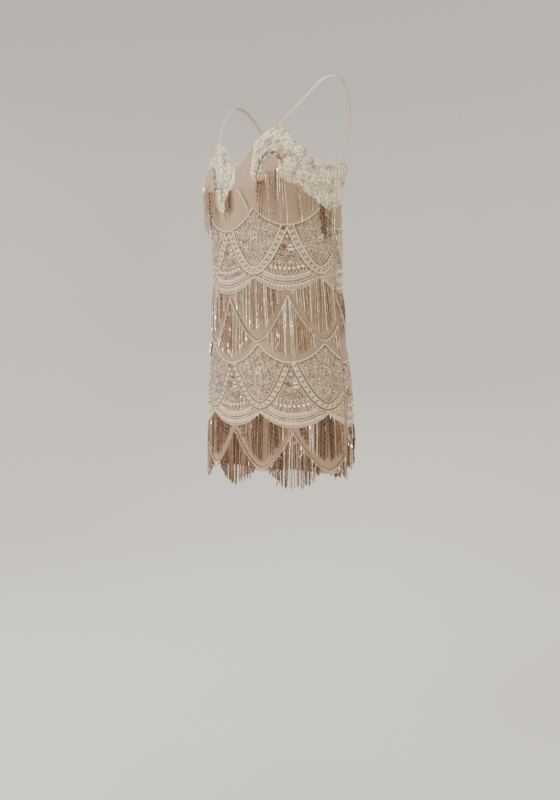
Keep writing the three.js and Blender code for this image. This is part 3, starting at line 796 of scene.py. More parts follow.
def dark_cord(tree, shader, shades):
    """Bronze-brown cord that outlines the bands and fans; below the pale scallop cords and fan ribs, and
    outside the upper tier's bands, it is painted shadow
    """
    rayon_thread(tree, shader, shades.dark_thread, roughness=0.45)


def matt_floor(tree, shader, shades):
    """Painted plaster: dead matt and even"""
    set_inputs(shader, Base_Color=(*shades.floor, 1), Roughness=0.95, Specular_IOR_Level=0.1)


FINISHES = (
    nude_tulle, strap_satin, lace_net, lace_cord, bead_ground, upper_thread, lower_thread, pale_cord,
    dark_cord, rose_gold_bugles, champagne_seeds, bead_pearls, matt_floor,
)


def finish_of(name):
    """The named finish, made once"""
    found = bpy.data.materials.get(name)
    if found:
        return found
    made = bpy.data.materials.new(name)
    made.use_nodes = True
    finish = {finish.__name__: finish for finish in FINISHES}[name]
    finish(made.node_tree, made.node_tree.nodes["Principled BSDF"], bpy.context.scene.dress_colours)
    return made


def flat_grid(bm, columns, rows, start, end, low, high, drop=0.0):
    """Adds a grid, flat on the table, between two ends and two lines; returns s of its points"""
    made = bmesh.ops.create_grid(bm, x_segments=columns, y_segments=rows, size=0.5)
    share = np.array([v.co[:2] for v in made["verts"]], float) + 0.5
    s = start + share[:, 0] * (end - start)
    z = low(s) + (high(s) - low(s)) * share[:, 1]
    for v, a, b in zip(made["verts"], s, z):
        v.co = (a, b, -drop)
    return s


def strap_line(side, count):
    """Places, outward and sideways directions along one strap, in metres"""
    ends = []
    for panel, s in ((FRONT, STRAP_FRONT_S), (BACK, STRAP_BACK_S)):
        top = float(panel.edge(s))
        z = np.array([top - STRAP_LAP, top])
        s = np.full(2, side * s)
        ends.append(panel.body(s, z) + panel.out(s, z) * STRAP_INSIDE)
    over = np.array(STRAP_PATH, float) * (side, 1, 1)
    knots = np.concatenate([ends[0], over, ends[1][::-1]])
    knots = np.concatenate([[2 * knots[0] - knots[1]], knots, [2 * knots[-1] - knots[-2]]])
    spans = np.linalg.norm(np.diff(knots, axis=0), axis=1) ** 0.5
    dense = []
    for k in range(1, len(knots) - 2):
        a, b, c, d = knots[k - 1:k + 3]
        u, v, w = spans[k - 1:k + 2]
        leave = ((b - a) / u - (c - a) / (u + v) + (c - b) / v) * v
        arrive = ((c - b) / v - (d - b) / (v + w) + (d - c) / w) * v
        t = np.linspace(0, 1, 24, endpoint=False)[:, None]
        dense.append((2 * t**3 - 3 * t**2 + 1) * b + (t**3 - 2 * t**2 + t) * leave
                     + (3 * t**2 - 2 * t**3) * c + (t**3 - t**2) * arrive)
    dense = np.concatenate(dense + [knots[-2:-1]])
    length = np.concatenate([[0], np.cumsum(np.linalg.norm(np.diff(dense, axis=0), axis=1))])
    at = np.linspace(0, length[-1], count)
    points = np.column_stack([np.interp(at, length, dense[:, k]) for k in range(3)])
    along = np.gradient(points, axis=0)
    along /= np.linalg.norm(along, axis=1, keepdims=True)
    core = np.array(SHOULDER_CORE, float) * (side, 1, 1)
    away = points - core
    away /= np.linalg.norm(away, axis=1, keepdims=True)
    square = np.empty_like(points)
    for panel, s, mine in ((FRONT, STRAP_FRONT_S, points[:, 1] < 0), (BACK, STRAP_BACK_S, points[:, 1] >= 0)):
        z = points[mine, 2]
        share = smooth_step(z, float(panel.edge(s)), SHOULDER_FALL)[:, None]
        square[mine] = panel.out(np.full(len(z), side * s), z) * (1 - share) + away[mine] * share
    square -= along * np.sum(square * along, axis=1, keepdims=True)
    square /= np.linalg.norm(square, axis=1, keepdims=True)
    return points * MM, square, np.cross(along, square), length[-1]


# A strand leans and bends a little at random, leans with its neighbours in waves, swings free of the
# cloth by 1.2 to 3 mm after 25 mm, and is all but plumb
STRAND_LEAN = 0.022
STRAND_BEND = 0.9
WAVE_LEAN = 0.02
WAVE_LENGTH = 9.0
SWING_LEAST = 1.2
SWING_SPREAD = 1.8
SWING_AFTER = 25
PLUMB_SHARE = 0.85
# How much the tone strays from bead to bead, and how much lighter a seed is than its bugle
TONE_STRAY = 0.05
SEED_LIGHTER = 0.12
# Width of a seed bead as a share of the bugle's
SEED_SHARE = 0.86


def hang_strands(heap, panel, s, root, tip, lift, rng, tones, beads):
    """Strands of bugles with a seed bead between, hanging from places on a panel down to their tips"""
    bugle, seed, width = beads
    pitch = bugle + seed
    steps = int(np.max((root - tip) / pitch)) + 1
    drop = np.arange(steps + 1) * pitch
    lean = rng.normal(0, STRAND_LEAN, len(s)) + WAVE_LEAN * np.sin(s / WAVE_LENGTH)
    bend = rng.normal(0, STRAND_BEND, len(s))
    down = drop[None] / drop[-1]
    places_s = s[:, None] + lean[:, None] * drop[None] + bend[:, None] * down**2
    places_z = root[:, None] - drop[None]
    loose = SWING_LEAST + rng.random(len(s))[:, None] * SWING_SPREAD
    swing = lift + loose * np.minimum(drop[None] / SWING_AFTER, 1)
    points = panel.lay(places_s, places_z, swing)
    # A strand falls plumb where the cloth below it draws in
    out = panel.out(s, root)[:, :2]
    out /= np.linalg.norm(out, axis=1, keepdims=True)
    reach = np.sum(points[..., :2] * out[:, None], axis=2)
    free = np.maximum.accumulate(reach, axis=1) - reach
    points[..., :2] += free[..., None] * out[:, None] * PLUMB_SHARE
    start, end = points[:, :-1], points[:, 1:]
    kept = root[:, None] - drop[None, 1:] > tip[:, None] - pitch * 0.5
    tone = (tones[:, None] + rng.normal(0, TONE_STRAY, kept.shape))[kept].clip(0, 1)
    start, end = start[kept], end[kept]
    joint = start + (end - start) * (bugle / pitch)
    spin = rng.random(len(start)) * np.pi
    heap.thread("bugle", start + (joint - start) * 0.02, joint, width * MM, spin, tone)
    seed_tone = (tone + SEED_LIGHTER).clip(0, 1)
    heap.thread("seed", joint, end, width * SEED_SHARE * MM, spin, seed_tone, 1)


# Silver-lined strands are most frequent round this place on the wearer's left side: the cluster is a painted
# highlight, bright strands where the light glints
GLINT_CLUSTER_AT = 120
GLINT_CLUSTER_SPREAD = 55


def strand_tones(s, base, rng, silver):
    """A tone for each strand: mostly rose gold, in drifts, with some silver-lined ones, gathered round one
    place as a painted highlight
    """
    drift = 0.09 * np.sin(s / 17.0 + 1.3) + 0.06 * np.sin(s / 7.3)
    tone = base + drift + rng.normal(0, 0.18, len(s))
    # Strands near this place are more often silver: painted highlight
    near = np.exp(-((s - GLINT_CLUSTER_AT) / GLINT_CLUSTER_SPREAD) ** 2)
    bright = rng.random(len(s)) < silver * (0.4 + 1.4 * near)
    return np.where(bright, 0.84 + 0.16 * rng.random(len(s)), tone).clip(0.02, 1)


def size_of(name, description, value):
    """A size that a user may change, given in mm"""
    return bpy.props.FloatProperty(name=name, description=description, default=value * MM, unit="LENGTH")


def colour_of(name, description, text):
    """A colour that a user may change, given as sRGB hex"""
    return bpy.props.FloatVectorProperty(
        name=name, description=description, subtype="COLOR", size=3, min=0, max=1, default=to_linear(text))


class DressSizes(bpy.types.PropertyGroup):
    cloth: size_of("Cloth", "Thickness of tulle and lining together", 1.2)
    strap_width: size_of("Strap width", "Width of the satin straps", 8.0)
    strap_thickness: size_of("Strap thickness", "Thickness of the satin straps", 1.2)
    strand_pitch: size_of("Strand spacing", "Distance from one fringe strand to the next", 3.1)
    bugle: size_of("Bugle bead", "Length of a bugle bead", 7.0)
    seed: size_of("Seed bead", "Length of the seed bead between two bugles", 1.7)
    strand_width: size_of("Strand width", "Width of a bugle bead", 2.1)
    pearl: size_of("Pearl", "Width of the large pearls in the fans", 5.4)


class DressColours(bpy.types.PropertyGroup):
    tulle: colour_of("Tulle", "Nude tulle over its lining", "#B79B7E")
    satin: colour_of("Satin", "Shoulder straps", "#D6BCA2")
    lace: colour_of("Lace", "Corded motifs of the lace", "#F8E8C8")
    lace_ground: colour_of("Lace ground", "Net between the motifs of the lace", "#CDB68E")
    ground: colour_of("Bead ground", "Stitched ground of the embroidery", "#B59A7C")
    thread: colour_of("Thread", "Stitched bands, ribs and scallops", "#D2BC9A")
    dark_thread: colour_of("Dark thread", "Outlines of the bands and fans", "#5E4A2F")
    bugle_dark: colour_of("Dark bugles", "Darkest strands of the fringe", "#75503A")
    bugle: colour_of("Bugles", "Most strands of the fringe", "#B28D6E")
    bugle_light: colour_of("Light bugles", "Lightest rose gold strands", "#D0B69C")
    silver: colour_of("Silver-lined beads", "The few brightest strands and seeds", "#FBF2E4")
    seed_dark: colour_of("Dark seeds", "Dots in the bands and flower centres", "#54402A")
    seed: colour_of("Seeds", "Champagne seed beads", "#D3BE9C")
    pearl: colour_of("Pearls", "Pearl-coated glass", "#F6EFE0")
    floor: colour_of("Floor", "Pale floor and backdrop", "#D9D6D0")


def mm(value):
    """A size in metres, in mm"""
    return value / MM


def strand_beads(sizes):
    """A strand's sizes in mm: length of a bugle and of the seed after it, and the bugle's width"""
    return mm(sizes.bugle), mm(sizes.seed), mm(sizes.strand_width)


# Half the gap between the panels at a side seam
SEAM_GAP = 0.15
CLOTH_COLUMNS = {"front": 84, "back": 78}
CLOTH_ROWS = 96
# The rolled edges of the cloth: width, crown, how far in from the edge, and how thick
EDGING_WIDTH = 3.0
EDGING_CROWN = 0.25
EDGING_IN = 1.4
EDGING_THICK = 0.3
# A panel's length is taken this far from the centre line, where the cup's edge is highest
LENGTH_AT = 90.0


class DRESS_OT_cloth(bpy.types.Operator):
    """Front and back cloth, a thin shell each, with the soft creases of worn tulle over its lining"""

    bl_idname = "dress.cloth"
    bl_label = "Cloth"

    def execute(self, context):
        thickness = mm(context.scene.dress_sizes.cloth)
        for panel in (FRONT, BACK):
            reach = panel.half - SEAM_GAP
            flat = bmesh.new()
            flat_grid(flat, CLOTH_COLUMNS[panel.name], CLOTH_ROWS, -reach, reach, panel.hem, panel.edge)
            mesh = from_flat(flat, f"cloth_{panel.name}", panel, -thickness, thickness)
            made = piece(f"cloth_{panel.name}", mesh, ["nude_tulle"], [f"{panel.name}_panel"])
            edge = bmesh.new()
            for height, way in ((panel.edge, -1), (panel.hem, 1)):
                line = line_of(height, -panel.half + 1, panel.half - 1, 3.0)
                ribbon(edge, beside(line, way * EDGING_IN), EDGING_WIDTH, EDGING_CROWN)
            rolled = from_flat(edge, f"edging_{panel.name}", panel, 0.05, EDGING_THICK)
            piece(f"edging_{panel.name}", rolled, ["strap_satin"])
            length = (float(panel.edge(LENGTH_AT)) - HEM_Z) * MM
        return {"FINISHED"}


# Places along a strap and rows across it; its section is flat and falls off at both edges
STRAP_PLACES = 110
STRAP_ROWS = 6
STRAP_EDGE_FALL = 0.35


class DRESS_OT_straps(bpy.types.Operator):
    """Two narrow satin straps over the shoulders, sewn inside the front and back top edges"""

    bl_idname = "dress.straps"
    bl_label = "Straps"

    def execute(self, context):
        sizes = context.scene.dress_sizes
        for name, side in (("left", 1), ("right", -1)):
            last = STRAP_PLACES - 1
            points, square, across, length = strap_line(side, STRAP_PLACES)
            bm = bmesh.new()
            made = bmesh.ops.create_grid(bm, x_segments=last, y_segments=STRAP_ROWS, size=0.5)
            for v in made["verts"]:
                k, w = round((v.co.x + 0.5) * last), v.co.y
                rise = 0.5 - STRAP_EDGE_FALL * (2 * w) ** 4
                v.co = (points[k] + across[k] * w * sizes.strap_width
                        + square[k] * sizes.strap_thickness * rise)
            # The underside mirrors the upper face
            low = bmesh.ops.extrude_face_region(bm, geom=bm.faces[:])
            lowered = [v for v in low["geom"] if isinstance(v, bmesh.types.BMVert)]
            for v in lowered:
                k = int(np.argmin(np.linalg.norm(points - np.array(v.co), axis=1)))
                off = float(np.dot(np.array(v.co) - points[k], square[k]))
                v.co = np.array(v.co) - square[k] * 2 * off
            bmesh.ops.recalc_face_normals(bm, faces=bm.faces)
            layer = bm.loops.layers.uv.new("flat")
            for face in bm.faces:
                for loop in face.loops:
                    gap = points - np.array(loop.vert.co)
                    k = int(np.argmin(np.sum(gap * gap, axis=1)))
                    loop[layer].uv = (k / last * length * MM, float(np.dot(-gap[k], across[k])))
            mesh = bpy.data.meshes.new(f"strap_band_{name}")
            bm.to_mesh(mesh)
            bm.free()
            mesh.shade_smooth()
            piece(f"strap_band_{name}", mesh, ["strap_satin"], [f"strap_{name}"])
        return {"FINISHED"}


# The bead arch on each cup: middle, foot, half its span, its rise and how far it reaches under the foot
ARCH_S = 77.0
ARCH_Z = -216.0
ARCH_SPAN = 22.0
ARCH_RISE = 49.0
ARCH_UNDER = 12.0

# Motifs of the lace: how far apart, in rows that lie closer, how far below the edge the first row is
MOTIF_STEP = 30.0
MOTIF_ROWS = 12
MOTIF_ROW_SHARE = 0.62
MOTIF_FIRST = 12
# The flowers' least size and its spread, and how far a petal and a leaf lie from the middle, as shares
FLOWER_SIZE = 9.8
FLOWER_SPREAD = 2.8
PETAL_OUT = 0.56
LEAF_OUT = 1.6
LACE_PEARL = (2.8, 2.8, 2.0)
# Cords that curl off a flower: least radius and its spread, turn of the curl in radians, how much
# tighter its end is, and the radius of the cord
SCROLLS = 3
SCROLL_SIZE = 7.5
SCROLL_SPREAD = 2.5
SCROLL_TURN = 5.6
SCROLL_TAPER = 0.72
SCROLL_RADIUS = 0.8
# Petals that edge the lace: length, width and height, and their spacing
EDGE_PETAL = (8.0, 6.0, 0.8)
EDGE_PETAL_PITCH = 6.8
# Small bows along the lace's lower edge
BOW_DEPTH = 1.5
BOW_WIDTH = 9.0
# The back's lace: depth, bows and how much deeper it gets at the side seams
BACK_LACE_DEPTH = 44.0
BACK_BOW_DEPTH = 10.0
BACK_BOWS = 7
BACK_SIDE_DROP = 30.0
BACK_SIDE_START = 140.0


def in_arch(s, z, grow=0.0):
    """Whether places lie on the bare tulle inside a cup's bead arch"""
    across = (np.abs(s) - ARCH_S) / (ARCH_SPAN + grow)
    return (across ** 2 + ((z - ARCH_Z) / (ARCH_RISE + grow)) ** 2 < 1) & (z > ARCH_Z - ARCH_UNDER)


def bows(s):
    """Depth of the small bows below a strip's lower edge"""
    return BOW_DEPTH * np.abs(np.sin(s * np.pi / BOW_WIDTH))


def cup_lace_low(s):
    return lace_low(s) - bows(s)


def cup_lace_top(s):
    return FRONT.edge(s) + 1.0


def back_lace_low(s):
    """Deeper at the side seams, where it meets the front's lace"""
    wave = np.abs(np.sin(np.pi * BACK_BOWS * (s + BACK.half) / (2 * BACK.half)))
    side = smooth_step(np.abs(s), BACK_SIDE_START, BACK.half)
    return BACK.edge(s) - BACK_LACE_DEPTH - BACK_BOW_DEPTH * wave - BACK_SIDE_DROP * side


def back_lace_top(s):
    return BACK.edge(s) + 1.0


def patch_low(s):
    """The wearer's right cup's lace reaches further down toward the V"""
    return read_table(LACE_PATCH[:, 0], LACE_PATCH[:, 1], s) - bows(s)


def patch_top(s):
    """It starts under the cup's lace, and near the V a little below the neck's edge"""
    return np.where(s < -36, lace_low(s) + 3, FRONT.edge(s) - 5)


# Each strip of lace: its panel, lower and upper edge, from and to, and the node it stands for
LACE_STRIPS = {
    "left": (FRONT, cup_lace_low, cup_lace_top, 36.0, 211.0, ["lace_left"]),
    "right": (FRONT, cup_lace_low, cup_lace_top, -211.0, -36.0, ["lace_right"]),
    "back": (BACK, back_lace_low, back_lace_top, -195.0, 195.0, ["lace_back"]),
    "inner": (FRONT, patch_low, patch_top, -70.0, -6.0, []),
}


def lace_scroll(s, z, way, radius, turn):
    """A cord that curls in on itself, as places (s, z)"""
    t = np.linspace(0, 1, 17)
    far = radius * (1 - SCROLL_TAPER * t)
    angle = way + turn * (math.pi + t * SCROLL_TURN)
    middle = np.array([s, z]) + radius * 1.5 * np.array([math.cos(way), math.sin(way)])
    return middle + far[:, None] * np.column_stack([np.cos(angle), np.sin(angle)])


def lace_flower(heap, panel, s, z, size, turn, rng):
    """A corded lace flower with a pearl in its middle"""
    petals = 5 + int(rng.random() * 2)
    angle = turn + np.arange(petals) * 2 * np.pi / petals
    places = np.array([s, z]) + size * PETAL_OUT * np.column_stack([np.cos(angle), np.sin(angle)])
    heap.lay(panel, "petal", places, (size, size * 0.86, 0.8), 0.95 + 0.1 * rng.random(petals), angle)
    heap.lay(panel, "seed", [(s, z)], LACE_PEARL, 1.6, 0, 0.9, 1)


def lace_motifs(heap, panel, low, top, start, end, rng):
    """Flowers, leaves and scrolls over a strip of lace; returns the scrolls' lines"""
    def inside(places, inset):
        s, z = places[:, 0], places[:, 1]
        return ((s > start + inset) & (s < end - inset) & (z > low(s) + inset) & (z < top(s) - inset)
                & ~((panel.sign > 0) & in_arch(s, z, 2.0)))

    step = MOTIF_STEP
    scrolls = []
    for row in range(MOTIF_ROWS):
        for column in range(int((end - start) / step) + 2):
            s = start + column * step + (row % 2) * step / 2 + rng.normal(0, 2.0)
            z = float(top(np.array(s))) - MOTIF_FIRST - row * step * MOTIF_ROW_SHARE + rng.normal(0, 1.8)
            if not inside(np.array([[s, z]]), 5.0)[0]:
                continue
            turn = rng.random() * 6.3
            size = FLOWER_SIZE + rng.random() * FLOWER_SPREAD
            lace_flower(heap, panel, s, z, size, turn, rng)
            for k in range(SCROLLS):
                way = turn + k * 2.1 + rng.normal(0, 0.3)
                radius = SCROLL_SIZE + SCROLL_SPREAD * rng.random()
                curl = lace_scroll(s, z, way, radius, 1 if k % 2 else -1)
                kept = inside(curl, 1.6)
                if kept.sum() > 6 and kept[:6].all():
                    scrolls.append(curl[:int(np.argmin(np.append(kept, False)))])
                aside = np.array([math.cos(way + 1), math.sin(way + 1)])
                far = np.array([[s, z]]) + size * LEAF_OUT * aside
                if inside(far, 3.0)[0]:
                    heap.lay(panel, "leaf", far, (14 + 4 * rng.random(), 7.0, 0.8), 0.85, way + 0.5)
    for height, way, inset in ((top, -1, 3.6), (low, 1, 3.2)):
        line = line_of(height, start + 2, end - 2)
        places, angle = spaced(beside(line, way * inset), EDGE_PETAL_PITCH)
        kept = inside(places, 1.8)
        heap.lay(panel, "petal", places[kept], EDGE_PETAL, 0.85, angle[kept] + 0.9)
    return scrolls


class DRESS_OT_lace(bpy.types.Operator):
    """Corded lace over the cups, along the armholes and along the back's top edge"""

    bl_idname = "dress.lace"
    bl_label = "Lace"

    def execute(self, context):
        for number, (name, strip) in enumerate(LACE_STRIPS.items()):
            panel, low, top, start, end, nodes = strip
            rng = np.random.default_rng(SEED + number)
            bm = bmesh.new()
            s = flat_grid(bm, int((end - start) / 3), 24, start, end, low, top)
            lift, thickness = (0.25, 0.5) if nodes else (0.15, 0.4)
            mesh = from_flat(bm, f"lace_net_{name}", panel, lift, thickness)
            self.bare_arch(mesh, panel)
            net = piece(f"lace_net_{name}", mesh, ["lace_net", "nude_tulle"], nodes)
            heap = Heap()
            scrolls = lace_motifs(heap, panel, low, lambda s: top(s) - 1.0, start, end, rng)
            cord = heap.piece(f"lace_cords_{name}", "corded_lace", ["lace_cord", "bead_pearls"])
            laid = [(panel.lay(line[:, 0], line[:, 1], 1.35), SCROLL_RADIUS * MM) for line in scrolls]
            scroll = piece(f"lace_scrolls_{name}", cords(f"lace_scrolls_{name}", laid),
                           ["lace_cord"])
            deep = float(np.mean(top(s) - low(s))) * MM
        return {"FINISHED"}

    def bare_arch(self, mesh, panel):
        """Marks the faces inside the bead arch as plain tulle"""
        if panel.sign < 0:
            return
        uv = mesh.uv_layers["flat"].data
        for face in mesh.polygons:
            s, z = np.mean([uv[k].uv for k in face.loop_indices], axis=0) / MM
            face.material_index = int(in_arch(s, z))


# Clumps of strands under each cup's lace: from, to, spacing, tone, share of silver, rise of the root
BUST_CLUMPS = [
    (52, 70, 2.6, 0.38, 0.02, 3),
    (75, 80, 3.2, 0.66, 0.30, 14),
    (86, 96, 2.6, 0.46, 0.05, 16),
    (98, 110, 4.2, 0.52, 0.10, 6),
    (128, 136, 3.0, 0.50, 0.00, 2),
    (145, 163, 8.0, 0.62, 0.05, 0),
    (172, 182, 2.3, 0.20, 0.00, -4),
    (187, 206, 6.0, 0.50, 0.00, 0),
]
# Bugles over the bust are shorter than the others, and no strand there is shorter than this
BUST_BUGLE_SHARE = 0.8
BUST_SHORTEST = 22.0
# Three silver strands from the arch and from the lace's lower edge: place, root and tip
SILVER_STRANDS = np.array([(97.0, -182.0, -248.0), (99.6, -186.0, -238.0), (131.0, -240.0, -288.0)])
SILVER_TONE = 0.97
# Bugles and beads of the arch: length, width and height, their spacing and how far off its line they lie
ARCH_BUGLE = (11.0, 2.4, 1.9)
ARCH_BUGLE_PITCH = 3.1
ARCH_BUGLE_OUT = 4.2
ARCH_SEED = (2.3, 2.3, 2.0)
ARCH_SEED_PITCH = 2.6
ARCH_SEED_IN = 1.2
# The curve of pale beads beside the V: its start, reach and fall
CURVE_START = (-0.5, -219.0)
CURVE_REACH = 28
CURVE_FALL = 38


def bust_arch(heap, side, rng):
    """An arch of slanted beads round a bare patch, lined with pale ones"""
    turn = np.linspace(0.02, 0.8, 120)[:, None] * np.pi
    line = np.column_stack([side * (ARCH_S - ARCH_SPAN * np.cos(turn)), ARCH_Z + ARCH_RISE * np.sin(turn)])
    places, angle = spaced(beside(line, ARCH_BUGLE_OUT * side), ARCH_BUGLE_PITCH)
    tone = np.where(rng.random(len(places)) < 0.35, 0.95, 0.25 + 0.3 * rng.random(len(places)))
    slant = angle + side * (0.75 + rng.normal(0, 0.08, len(angle)))
    heap.lay(FRONT, "leaf", places, ARCH_BUGLE, 1.7, slant, tone)
    places, angle = spaced(beside(line, -ARCH_SEED_IN * side), ARCH_SEED_PITCH)
    heap.lay(FRONT, "seed", places, ARCH_SEED, 1.9, angle, 0.75 + 0.2 * rng.random(len(places)), 1)


class DRESS_OT_bust(bpy.types.Operator):
    """Short bead fringe in clumps under the lace, with an arch of bugle beads on each cup"""

    bl_idname = "dress.bust"
    bl_label = "Bust fringe"

    def execute(self, context):
        bugle, seed, width = strand_beads(context.scene.dress_sizes)
        beads = (bugle * BUST_BUGLE_SHARE, seed, width)
        for number, (name, side) in enumerate((("left", 1), ("right", -1))):
            rng = np.random.default_rng(SEED + 20 + number)
            heap = Heap()
            for start, end, pitch, tone, silver, rise in BUST_CLUMPS:
                s = np.arange(start, end, pitch)
                s = s + rng.normal(0, 0.4, len(s))
                low = lace_low(s)
                length = read_table(LACE_EDGE[:, 0], LACE_EDGE[:, 2], s).clip(BUST_SHORTEST)
                length = length + rng.normal(0, 6, len(s))
                tones = strand_tones(s, tone, rng, silver)
                hang_strands(heap, FRONT, side * s, low + 1 + rise, low - length, 2.4, rng, tones, beads)
            s, root, tip = SILVER_STRANDS.T
            tones = np.full(len(s), SILVER_TONE)
            hang_strands(heap, FRONT, side * s, root, tip, 3.0, rng, tones, beads)
            bust_arch(heap, side, rng)
            if side < 0:
                # Strands under the inner end of this cup's lace
                s = np.arange(-29.0, -13.0, 2.7)
                low = read_table(LACE_PATCH[:, 0], LACE_PATCH[:, 1], s)
                tip = low - 30 + rng.normal(0, 4, len(s))
                tones = strand_tones(s, 0.32, rng, 0.0)
                hang_strands(heap, FRONT, s, low + 2, tip, 2.4, rng, tones, beads)
            else:
                t = np.linspace(0, 1, 30)
                for aside, tone in ((0.0, 0.95), (2.6, 0.3)):
                    line = np.column_stack([
                        CURVE_START[0] + CURVE_REACH * t + aside, CURVE_START[1] - CURVE_FALL * t ** 1.5])
                    places, angle = spaced(line, 2.6)
                    heap.lay(FRONT, "seed", places, (2.8, 2.8, 2.2), 1.9, angle, tone, 1)
            heap.piece(f"bust_strands_{name}", "bead_fringe", FRINGE_BEADS, [f"bust_fringe_{name}"])
        return {"FINISHED"}


def tier_lines(panel, tier):
    """The lines of one tier on one panel, each a dense line of places"""
    top = tier["top"]
    limit = panel.half - EDGE_INSET
    bands = []
    for middle in centres(panel, 0.5):
        half = REPEAT / 2 - BAND_INSET
        start, end = max(middle - half, -limit), min(middle + half, limit)
        if end - start > BAND_WIDTH:
            bands.append((middle, line_of(lambda s: band_z(top, s - middle), start, end)))
    return {
        "scallop": line_of(lambda s: scallop_z(panel, top, s), -limit, limit),
        "bands": bands,
        "fans": [s for s in centres(panel, 0) if abs(s) < limit + 12],
        "rim": line_of(lambda s: rim_z(panel, top, s), -limit, limit),
    }


def fan_line(panel, top, middle, rise, reach):
    """A line inside a fan that follows its rim, higher by the rise"""
    line = line_of(lambda s: rim_z(panel, top, s) + rise, middle - reach, middle + reach)
    return clip_line(line, panel, 3)


# The ground lies this much lower than the ribbons over it
GROUND_DROP = 0.35
GROUND_ROWS = 10
# Ribbons: width and crown
SCALLOP_RIBBON = (3.0, 0.4)
BAND_RIBBON = (11.6, 0.6)
RIM_RIBBON = (RIM_WIDTH * 0.9, 0.6)
RIB_CROWN = 1.1
# Cords beside a line, as their distance from it and their radius
SCALLOP_PALE = (1.4, 0.65)
# The dark cord below the scallop is painted shadow under its pale cord, laid as bronze-brown cord
SCALLOP_SHADOW_CORD = (-2.2, 0.4)
BAND_INNER = (6.4, 1.15)
BAND_OUTER = (8.3, 0.7)
# The dark cord below each fan rib is painted shadow under the pale rib
RIB_SHADOW_CORD = (0.6, 0.55)
# Ribs of a fan: their rise over the rim, reach to each side and width
FAN_RIBS = ((17.2, 49.0, 3.4), (23.0, 47.0, 4.8))
# Pale cords of a fan: rise, reach and radius
FAN_CORDS = ((13.0, 52.0, 0.8), (23.6, 46.0, 1.3), (17.6, 48.0, 0.9))
# Dark cords across a fan: their depths and radius
BAR_DEPTHS = (52.0, 56.0, 60.0)
BAR_RADIUS = 0.5
BAR_SAG = 3.5
BAR_CLEAR = 6.0
# Every third place of a line is enough for a ribbon, every second for a cord
RIBBON_STRIDE = 3
CORD_STRIDE = 2
CORD_LIFT = 1.4


def stitched_ground(bm, panel, top):
    """The ground of one tier, from its rim up to its scallop line, flat on the table"""
    reach = panel.half - 0.6
    flat_grid(bm, int(panel.half / 2), GROUND_ROWS, -reach, reach, lambda s: rim_z(panel, top, s) + 1,
              lambda s: scallop_z(panel, top, s), GROUND_DROP)


class DRESS_OT_bands(bpy.types.Operator):
    """Stitched ground, ladder bands, scallop lines, fan ribs and rims, with the cords that edge them"""

    bl_idname = "dress.bands"
    bl_label = "Stitched bands"

    def execute(self, context):
        for panel in (FRONT, BACK):
            for name, tier in TIERS.items():
                self.stitch(panel, name, tier)
        return {"FINISHED"}

    def stitch(self, panel, name, tier):
        lines, top = tier_lines(panel, tier), tier["top"]
        pale, dark = [], []
        # Where the outline is pale, as in the upper tier, the dark cords outside the bands are painted shadow
        # beside the pale ones
        inner, outer = (pale, dark) if tier["outline"] == "pale" else (dark, pale)
        bm = bmesh.new()
        stitched_ground(bm, panel, top)
        ground_faces = len(bm.faces)
        scallop = lines["scallop"]
        ribbon(bm, scallop[::RIBBON_STRIDE], *SCALLOP_RIBBON)
        # The dark cord here is painted shadow below the scallop's pale cord
        for group, (aside, radius) in ((pale, SCALLOP_PALE), (dark, SCALLOP_SHADOW_CORD)):
            group.append((beside(scallop, aside), radius))
        for _, line in lines["bands"]:
            ribbon(bm, line[::RIBBON_STRIDE], *BAND_RIBBON, 4)
            for way in (-1, 1):
                for group, (aside, radius) in ((inner, BAND_INNER), (outer, BAND_OUTER)):
                    group.append((beside(line, way * aside), radius))
        self.rim_ribbon(bm, panel, lines["rim"])
        for middle in lines["fans"]:
            for rise, reach, wide in FAN_RIBS:
                line = fan_line(panel, top, middle, rise, reach)
                if len(line) > 6:
                    ribbon(bm, line[::RIBBON_STRIDE], wide, RIB_CROWN)
                    # The dark cord below the rib is painted shadow
                    dark.append((beside(line, -wide / 2 - RIB_SHADOW_CORD[0]), RIB_SHADOW_CORD[1]))
            for rise, reach, radius in FAN_CORDS:
                pale.append((fan_line(panel, top, middle, rise, reach), radius))
            for depth in BAR_DEPTHS:
                dark.append((bar_line(panel, top, middle, depth), BAR_RADIUS))
        for k, face in enumerate(bm.faces):
            face.material_index = int(k >= ground_faces)
        mesh = from_flat(bm, f"{name}_ladder_{panel.name}", panel, 0.5, 0.7)
        piece(f"{name}_ladder_{panel.name}", mesh, ["bead_ground", f"{name}_thread"],
              [f"{name}_bands_{panel.name}"])
        for kind, group in (("pale", pale), ("dark", dark)):
            clipped = [(clip_line(line, panel, 1.5)[::CORD_STRIDE], radius) for line, radius in group]
            laid = [(panel.lay(line[:, 0], line[:, 1], CORD_LIFT), radius * MM)
                    for line, radius in clipped if len(line) > 3]
            mesh = cords(f"{name}_{kind}_cords_{panel.name}", laid)
            piece(f"{name}_{kind}_cords_{panel.name}", mesh, [f"{kind}_cord"])

    def rim_ribbon(self, bm, panel, rim):
        """The ribbon along a rim, wide in the middle of a fan and narrow between two"""
        width = RIM_WIDTH + (RIM_END - RIM_WIDTH) * (2 * from_fan(panel, rim[:, 0]) / REPEAT) ** 2
        line = np.column_stack([rim[:, 0], rim[:, 1] + width / 2])[::RIBBON_STRIDE]
        shares = width[::RIBBON_STRIDE] / RIM_WIDTH
        order = np.arange(len(shares))
        ribbon(bm, line, *RIM_RIBBON, 4, lambda t: float(np.interp(t * order[-1], order, shares)))


def bar_line(panel, top, middle, depth):
    """A slightly sagging line across a fan, between its two bands, at a depth below the tier's top"""
    half = REPEAT / 2 * (1 - ((BAND_LOW - depth) / BAND_LOW) ** (1 / BAND_POWER)) - BAR_CLEAR

    def height(s):
        return top - depth - BAR_SAG * (1 - ((s - middle) / half) ** 2)

    return clip_line(line_of(height, middle - half, middle + half), panel, 3)


